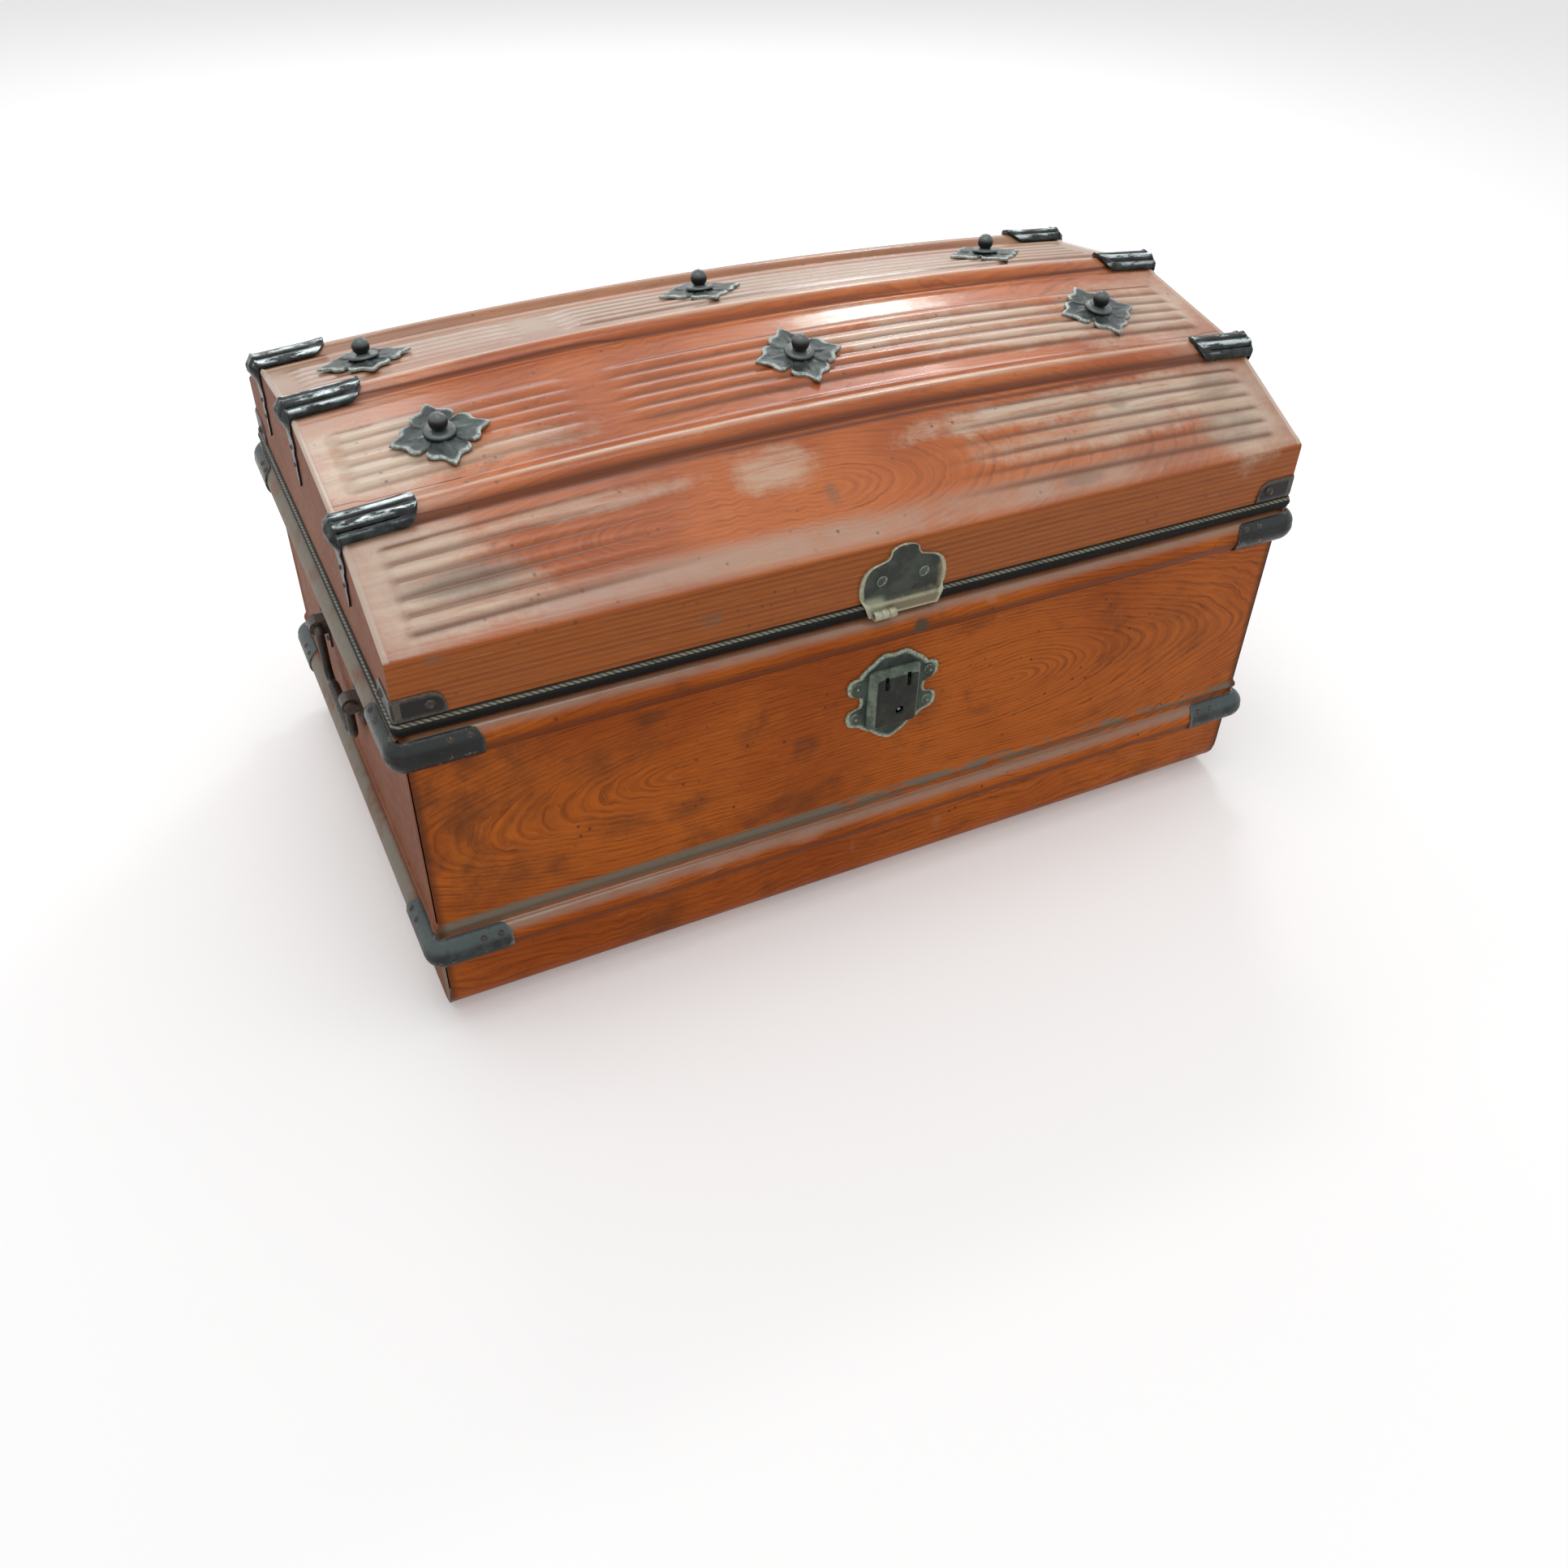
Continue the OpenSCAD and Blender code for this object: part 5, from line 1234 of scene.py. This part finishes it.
def make_boss(column, face):
    """A leaf-shaped plate and its stud; column is -1, 0 or 1."""
    where = ("front_" if face < 0 else "back_") + ("middle", "right", "left")[column]
    name = "boss_plate_" + where
    outline = np.concatenate([turned(ARM, 90 * quarter) for quarter in range(4)]) * BOSS_R
    outline = dense_outline(outline, 0.9)
    matrix = on_slope(column * BOSS_GAP + BOSS_SHIFT[face], face)
    plate = plate_piece(name + "_leaf", outline, boss_rise, BOSS_T, 14, matrix, "lid",
                        stands_for=(name,), slot="patinated_steel")
    paint_piece(plate, PATINA)
    neck = BALL_R * 0.62
    ball = [(BALL_R * math.cos(a), STUD_H - BALL_R + BALL_R * math.sin(a))
            for a in np.linspace(-0.95, math.pi / 2 - 0.02, 14)]
    foot = [(STUD_R * 1.42, 0), (STUD_R * 1.55, 0.8), (STUD_R * 1.50, 1.7), (STUD_R * 1.30, 2.4),
            (STUD_R * 1.0, 2.5), (neck, 2.6), (neck, 3.0)]
    stud = lathe("boss_stud_" + where,
                 foot + ball + [(0.05, STUD_H)],
                 matrix @ Matrix.Translation((0, 0, (BOSS_T + 0.6) * MM)), "lid",
                 stands_for=("boss_studs",), slot="patinated_steel")
    paint_piece(stud, STUD_METAL)


def on_front(x, out, z):
    """Local X along the front, Y up, Z out of the wall."""
    turn = Matrix(((1, 0, 0), (0, 0, -1), (0, 1, 0))).to_4x4()
    return Matrix.Translation(Vector((x, -BODY_D / 2 - out, z)) * MM) @ turn


EAR_X, EAR_HIGH, EAR_LOW, EAR_R = CASE_W / 2 + 8, 13.0, -11.0, 7.0


def far_side(direction, centre, radius):
    """How far along direction a ray from the middle leaves a circle, or 0 if it misses."""
    along = float(np.dot(direction, centre))
    gap = radius**2 - (np.dot(centre, centre) - along**2)
    return along + math.sqrt(gap) if gap > 0 and along > 0 else 0.0


def polygon_reach(direction, outline):
    """How far along direction a ray from the middle leaves a polygon."""
    best = 0.0
    for a, b in zip(outline, np.roll(outline, -1, axis=0)):
        edge = b - a
        cross = direction[0] * edge[1] - direction[1] * edge[0]
        if abs(cross) < 1e-9:
            continue
        distance = (a[0] * edge[1] - a[1] * edge[0]) / cross
        share = (a[0] * direction[1] - a[1] * direction[0]) / cross
        if distance > best and -1e-9 <= share <= 1 + 1e-9:
            best = distance
    return best


def lock_outline():
    """The lock plate's outline: a scalloped shield with an ear at each of its four rivets."""
    right = [(0, CASE_H / 2 + 10), (7, CASE_H / 2 + 12.5), (17, CASE_H / 2 + 6),
             (EAR_X, EAR_HIGH + 7), (EAR_X - 3, 2), (EAR_X, EAR_LOW - 7), (13, -CASE_H / 2 - 4),
             (6, -CASE_H / 2 - 10), (0, -CASE_H / 2 - 12)]
    whole = np.array(right + [(-x, y) for x, y in right[-2:0:-1]])[::-1]
    soft = dense_outline(whole, 1.0)
    for _ in range(3):
        soft = (np.roll(soft, 1, axis=0) + 2 * soft + np.roll(soft, -1, axis=0)) / 4
    outline = []
    for a in np.linspace(0, 2 * math.pi, 220, endpoint=False):
        direction = np.array([math.cos(a), math.sin(a)])
        reach = polygon_reach(direction, soft)
        for sx in (-1, 1):
            for y in (EAR_HIGH, EAR_LOW):
                reach = max(reach, far_side(direction, np.array([sx * EAR_X, y]), EAR_R))
        reach += 0.7 * abs(math.sin(a * 9)) - 0.7
        outline.append(direction * reach)
    return np.array(outline)


def lock_rise(t, angle):
    """A curled rim, the same all round."""
    return 0.8 * smoothstep(0.86, 0.98, t)


def make_lock():
    plate = plate_piece("lock_scroll_plate", lock_outline(), lock_rise, LOCK_T, 16,
                        on_front(LOCK_X, SEAT, LOCK_Z), "base",
                        stands_for=("lock_plate",), slot="patinated_steel")
    paint_piece(plate, LOCK_GREEN)


def rounded_outline(w, h, r):
    """A rectangle with rounded corners, anticlockwise."""
    points = []
    for quarter, (sx, sy) in enumerate([(1, 1), (-1, 1), (-1, -1), (1, -1)]):
        for a in np.radians(np.linspace(0, 90, 5) + 90 * quarter):
            points.append((sx * (w / 2 - r) + r * math.cos(a), sy * (h / 2 - r) + r * math.sin(a)))
    return points


def capped_faces(rows, count):
    """Quads between rings of count points, and a face over both open ends."""
    faces = []
    for row in range(rows - 1):
        for k in range(count):
            a, b = row * count + k, row * count + (k + 1) % count
            faces.append([a, b, b + count, a + count])
    faces.append(list(range(count))[::-1])
    faces.append([(rows - 1) * count + k for k in range(count)])
    return faces


def stack(layers):
    """A closed solid through outlines of equal length at rising heights: points and faces."""
    points = [(x, y, h) for outline, h in layers for x, y in outline]
    return points, capped_faces(len(layers), len(layers[0][0]))


def loose(points, faces, matrix):
    """A helper object that only serves a cut."""
    mesh = bpy.data.meshes.new("cutter")
    mesh.from_pydata([list(matrix @ Vector(p)) for p in (np.array(points) * MM).tolist()], [], faces)
    helper = bpy.data.objects.new("cutter", mesh)
    bpy.context.scene.collection.objects.link(helper)
    return helper


def cut_away(piece, cutters):
    """Takes the cutters out of a piece and removes them."""
    for cutter in cutters:
        modifier = piece.modifiers.new("cut", "BOOLEAN")
        modifier.operation = "DIFFERENCE"
        modifier.solver = "EXACT"
        modifier.object = cutter
    whole = piece.evaluated_get(bpy.context.evaluated_depsgraph_get())
    mesh = bpy.data.meshes.new_from_object(whole)
    piece.modifiers.clear()
    old, piece.data = piece.data, mesh
    bpy.data.meshes.remove(old)
    for cutter in cutters:
        bpy.data.objects.remove(cutter)


def make_lock_case():
    """A case with wide bevels, two hasp slots and a keyhole, hollow behind."""
    matrix = on_front(LOCK_X, SEAT + LOCK_T, LOCK_Z)
    out = CASE_OUT

    def layer(inset, radius, height):
        return rounded_outline(CASE_W - inset, CASE_H - inset, radius), height

    points, faces = stack([layer(0, 3, 0), layer(0, 3, 1.6), layer(1.2, 3, 2.4),
                           layer(6.6, 2.4, out - 0.9), layer(8.4, 2, out - 0.15), layer(10, 2, out)])
    piece = make_piece("lock_case_box", placed(points, matrix), faces, "base", stands_for=("lock_case",),
                       slot="patinated_steel", sharp=30)
    hollow = stack([layer(5, 2, -1), layer(5, 2, 1.6), layer(11, 2, out - 1.2)])
    cutters = [loose(*hollow, matrix)]
    for side in (-1, 1):
        outline = [(x + side * SLOT_X, y + SLOT_Z) for x, y in rounded_outline(SLOT_W, SLOT_H, 0.8)]
        cutters.append(loose(*stack([(outline, 1), (outline, out + 2)]), matrix))
    ring = [(KEYHOLE_X + KEYHOLE_R * math.cos(a), KEYHOLE_Z + KEYHOLE_R * math.sin(a))
            for a in np.linspace(0, 2 * math.pi, 24, endpoint=False)]
    cutters.append(loose(*stack([(ring, 1), (ring, out + 2)]), matrix))
    cut_away(piece, cutters)
    paint_piece(piece, CASE_METAL)


def hasp_half_width(t):
    """Half the hasp plate's width at t, from 0 at its foot to 1 at its ogee top."""
    heights = [0, 0.17, 0.30, 0.44, 0.57, 0.66, 0.72, 0.75, 0.775, 0.80, 0.86, 0.92, 0.96, 0.985, 1.0]
    widths = [24, 27, 29.5, 30, 29, 27, 24, 20.5, 15.5, 12, 10, 9.6, 7.6, 4.4, 0.5]
    return float(np.interp(t, heights, widths))


def make_hasp_plate():
    low, high = LID_Z + 1, FOLD_Z - 2
    face = LID_OVER + SEAT
    bulge = LID_OVER + LIP_OUT + 0.3
    outer, inner = [], []
    heights = np.concatenate([np.linspace(0, 0.8, 30), np.linspace(0.81, 1.0, 22)])
    for t in heights:
        z = low + (high - low) * t
        half = hasp_half_width(t)
        out = np.interp(z, [LIP_TOP - 0.4, LIP_TOP + 2.2], [bulge, face])
        line, back = [], []
        for v in np.linspace(-1, 1, 31):
            rim = 0.7 * smoothstep(0.86, 0.97, abs(v)) + 0.7 * smoothstep(0.93, 0.99, t)
            edge = 0.6 if abs(v) == 1 else 0.0
            line.append((LOCK_X + v * half, -BODY_D / 2 - out - LOCK_T - min(rim, 0.7) + edge, z))
            back.append((LOCK_X + v * half, -BODY_D / 2 - out, z))
        outer.append(line)
        inner.append(back)
    piece = shell("hasp_plate_sheet", np.array(outer), np.array(inner), "lid",
                  stands_for=("hasp_plate",), slot="patinated_steel")
    paint_piece(piece, HASP_METAL)
    # what is left of the hasp's hinge eye along the foot
    eye = Matrix.Translation(Vector((LOCK_X - 22, -BODY_D / 2 - bulge - LOCK_T - 1.6, LID_Z + 3)) * MM)
    eye = eye @ Matrix.Rotation(math.pi / 2, 4, "Y")
    profile = [(1.6, 0), (3.0, 0), (3.2, 0.4), (3.2, 4.6), (2.9, 5.0), (3.2, 5.4), (3.2, 9.6),
               (2.9, 10.0), (3.2, 10.4), (3.2, 14.6), (3.0, 15), (1.6, 15), (1.6, 0)]
    knuckle = lathe("hasp_eye_stub", profile, eye, "lid", steps=24, slot="patinated_steel")
    paint_piece(knuckle, HASP_METAL)


# ---------------------------------------------------------------------------
# Handles
# ---------------------------------------------------------------------------


def tube(name, path, radii, body, **facts):
    """A round bar along a path of 3-D points, closed at its ends."""
    steps = 20
    path = np.asarray(path, float)
    tangents = np.gradient(path, axis=0)
    tangents /= np.linalg.norm(tangents, axis=1, keepdims=True)
    side = np.array([1.0, 0.0, 0.0])
    points = []
    for p, d, r in zip(path, tangents, radii):
        across = np.cross(d, side)
        across /= np.linalg.norm(across)
        up = np.cross(across, d)
        points += [p + r * (across * math.cos(a) + up * math.sin(a))
                   for a in np.linspace(0, 2 * math.pi, steps, endpoint=False)]
    return make_piece(name, points, capped_faces(len(path), steps), body, **facts)


def make_handle(side):
    """A drop handle: pins in both ears, legs, and a grip that swells between its bends."""
    bend, rod, grip = 9.0, 3.0, 4.2
    leg = EAR_SPAN / 2 - EAR_HALF - 1 - rod
    end = EAR_SPAN / 2 + EAR_HALF + 3
    x = BODY_L / 2 + PIVOT_OUT
    drop = HANDLE_DROP

    def arc(cy, cz, r, start, stop, count):
        return [(cy + r * math.cos(a), cz + r * math.sin(a))
                for a in np.radians(np.linspace(start, stop, count))]

    small = 2.0
    half = [(end, 0.0), (end - 2, 0.0), (end - 2.4, 0.0)]
    half += [(y, 0.0) for y in np.linspace(end - 5, leg + small, 5)]
    half += arc(leg + small, -small, small, 90, 180, 6)
    half += [(leg, z) for z in np.linspace(-small - 1, -drop + bend + 1, 8)]
    half += arc(leg - bend, -drop + bend, bend, 0, -90, 10)
    half += [(y, -drop) for y in np.linspace(leg - bend - 1, 1.5, 16)]
    whole = half + [(-y, z) for y, z in half[::-1]]
    radii = []
    for y, z in whole:
        swell = smoothstep(leg - bend + 1, leg - bend - 6, abs(y)) if z <= -drop + 0.01 else 0
        radius = rod + (grip - rod) * swell
        if swell == 1:
            radius -= 0.25 * (1 + math.cos(y * 1.4)) / 2
        if abs(y) > end - 2.2:
            radius = rod + 1.1
        radii.append(radius)
    path = [(side * x, y, HANDLE_Z + z) for y, z in whole]
    name = "left_handle" if side < 0 else "right_handle"
    piece = tube(name + "_bail", path, radii, name, stands_for=(name,), slot="japanned_steel")
    paint_piece(piece, JAPAN)


# ---------------------------------------------------------------------------
# Assembly
# ---------------------------------------------------------------------------

make_body_sheet()
for side in (-1, 1):
    make_end_sheet(side)
    make_handle(side)
for side, face in CORNERS:
    where = corner_name(side, face)
    make_clasp("upper_clasp_" + where, side, face, TOP_BEAD_Z, TOP_BEAD_H, -78, 60, 4.0,
               CLASP_METAL, "japanned_steel")
    make_clasp("lower_clasp_" + where, side, face, LOW_BEAD_Z, LOW_BEAD_H, -80, 80, 2.4,
               LOW_CLASP_METAL, "patinated_steel")
    make_bracket(side, face)
    make_slat_cap("slat_cap_" + where, side, face, 1)
make_slat_cap("slat_cap_crest_left", -1, -1, 2)
make_slat_cap("slat_cap_crest_right", 1, -1, 2)
make_lid_sheet()
make_lip()
for column in (-1, 0, 1):
    for face in (-1, 1):
        make_boss(column, face)
make_lock()
make_lock_case()
make_hasp_plate()

# the CAD's own meshes, where no piece above takes their place
CARRIED = {
    "lid_left_end": END_PAINT,
    "lid_right_end": END_PAINT,
    "body_rim": DULL_STEEL,
    "lock_rivets": LOCK_GREEN,
    "hasp_rivets": LOCK_GREEN,
    "lock_bolt": DULL_STEEL,
    "lock_spring": DULL_STEEL,
    "key_post": DULL_STEEL,
    "left_hinge_pin": DULL_STEEL,
    "right_hinge_pin": DULL_STEEL,
}
for name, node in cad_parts.items():
    if node.hide_render:
        continue
    node.data.materials.clear()
    node.data.materials.append(CARRIED.get(name, JAPAN))

# ---------------------------------------------------------------------------
# Floor, light and camera
# ---------------------------------------------------------------------------


CAMERA_LENS = 32.18
CAMERA_PLACE = (-0.3884, -0.8028, 0.7006)
CAMERA_TURN = (49.72, -1.23, -26.13)
WORLD_LEVEL = 0.6
FLOOR_HALF = 14.0


def make_floor():
    mesh = bpy.data.meshes.new("floor")
    half = FLOOR_HALF
    mesh.from_pydata([(-half, -half, 0), (half, -half, 0), (half, half, 0), (-half, half, 0)], [],
                     [(0, 1, 2, 3)])
    floor = bpy.data.objects.new("floor", mesh)
    bpy.context.scene.collection.objects.link(floor)
    paint = Paint("floor", Base_Color=(0.96, 0.96, 0.96), Roughness=0.9, Specular_IOR_Level=0.1,
                  Emission_Color=(1, 1, 1))
    seen = paint.node("ShaderNodeLightPath", {}, "Is Camera Ray")
    paint.set(Emission_Strength=paint.times(seen, 0.18))
    mesh.materials.append(paint.material)


def make_world():
    world = bpy.data.worlds.new("studio")
    bpy.context.scene.world = world
    world.use_nodes = True
    tree = world.node_tree
    light = tree.nodes["Background"]
    light.inputs["Color"].default_value = (1.0, 1.0, 1.0, 1)
    light.inputs["Strength"].default_value = WORLD_LEVEL
    white = tree.nodes.new("ShaderNodeBackground")
    white.inputs["Color"].default_value = (1, 1, 1, 1)
    white.inputs["Strength"].default_value = 1.0
    rays = tree.nodes.new("ShaderNodeLightPath")
    seen = rays.outputs["Is Camera Ray"]
    for kind in ("Is Transmission Ray", "Is Glossy Ray"):
        either = tree.nodes.new("ShaderNodeMath")
        either.operation = "MAXIMUM"
        tree.links.new(seen, either.inputs[0])
        tree.links.new(rays.outputs[kind], either.inputs[1])
        seen = either.outputs[0]
    blend = tree.nodes.new("ShaderNodeMixShader")
    tree.links.new(seen, blend.inputs[0])
    tree.links.new(light.outputs[0], blend.inputs[1])
    tree.links.new(white.outputs[0], blend.inputs[2])
    tree.links.new(blend.outputs[0], tree.nodes["World Output"].inputs["Surface"])


def make_lamp(name, place, target, size, power):
    data = bpy.data.lights.new(name, "AREA")
    data.shape = "RECTANGLE"
    data.size, data.size_y = size
    data.energy = power
    lamp = bpy.data.objects.new(name, data)
    bpy.context.scene.collection.objects.link(lamp)
    lamp.location = place
    lamp.rotation_euler = (Vector(target) - Vector(place)).to_track_quat("-Z", "Y").to_euler()


def make_camera():
    """The photograph's view: place, turn and angle of view worked out from the trunk's corners."""
    data = bpy.data.cameras.new("camera")
    data.sensor_width = 36.0
    data.lens = CAMERA_LENS
    data.clip_start, data.clip_end = 0.05, 60
    camera = bpy.data.objects.new("camera", data)
    bpy.context.scene.collection.objects.link(camera)
    camera.location = CAMERA_PLACE
    camera.rotation_euler = [math.radians(a) for a in CAMERA_TURN]
    bpy.context.scene.camera = camera


make_floor()
make_world()
make_lamp("overhead", (-0.25, -0.15, 2.1), (-0.05, 0, 0.2), (1.5, 0.9), 11)
make_lamp("back_right", (1.02, 1.23, 1.58), (0.05, 0, 0.34), (0.40, 0.14), 4.5)
make_lamp("back_left", (-0.19, 1.34, 1.75), (-0.25, -0.05, 0.33), (0.30, 0.30), 1.5)
make_lamp("back_wide", (0.6, 2.0, 1.3), (0, 0, 0.3), (2.2, 0.8), 9)
make_camera()
bpy.context.scene.view_settings.view_transform = "Standard"
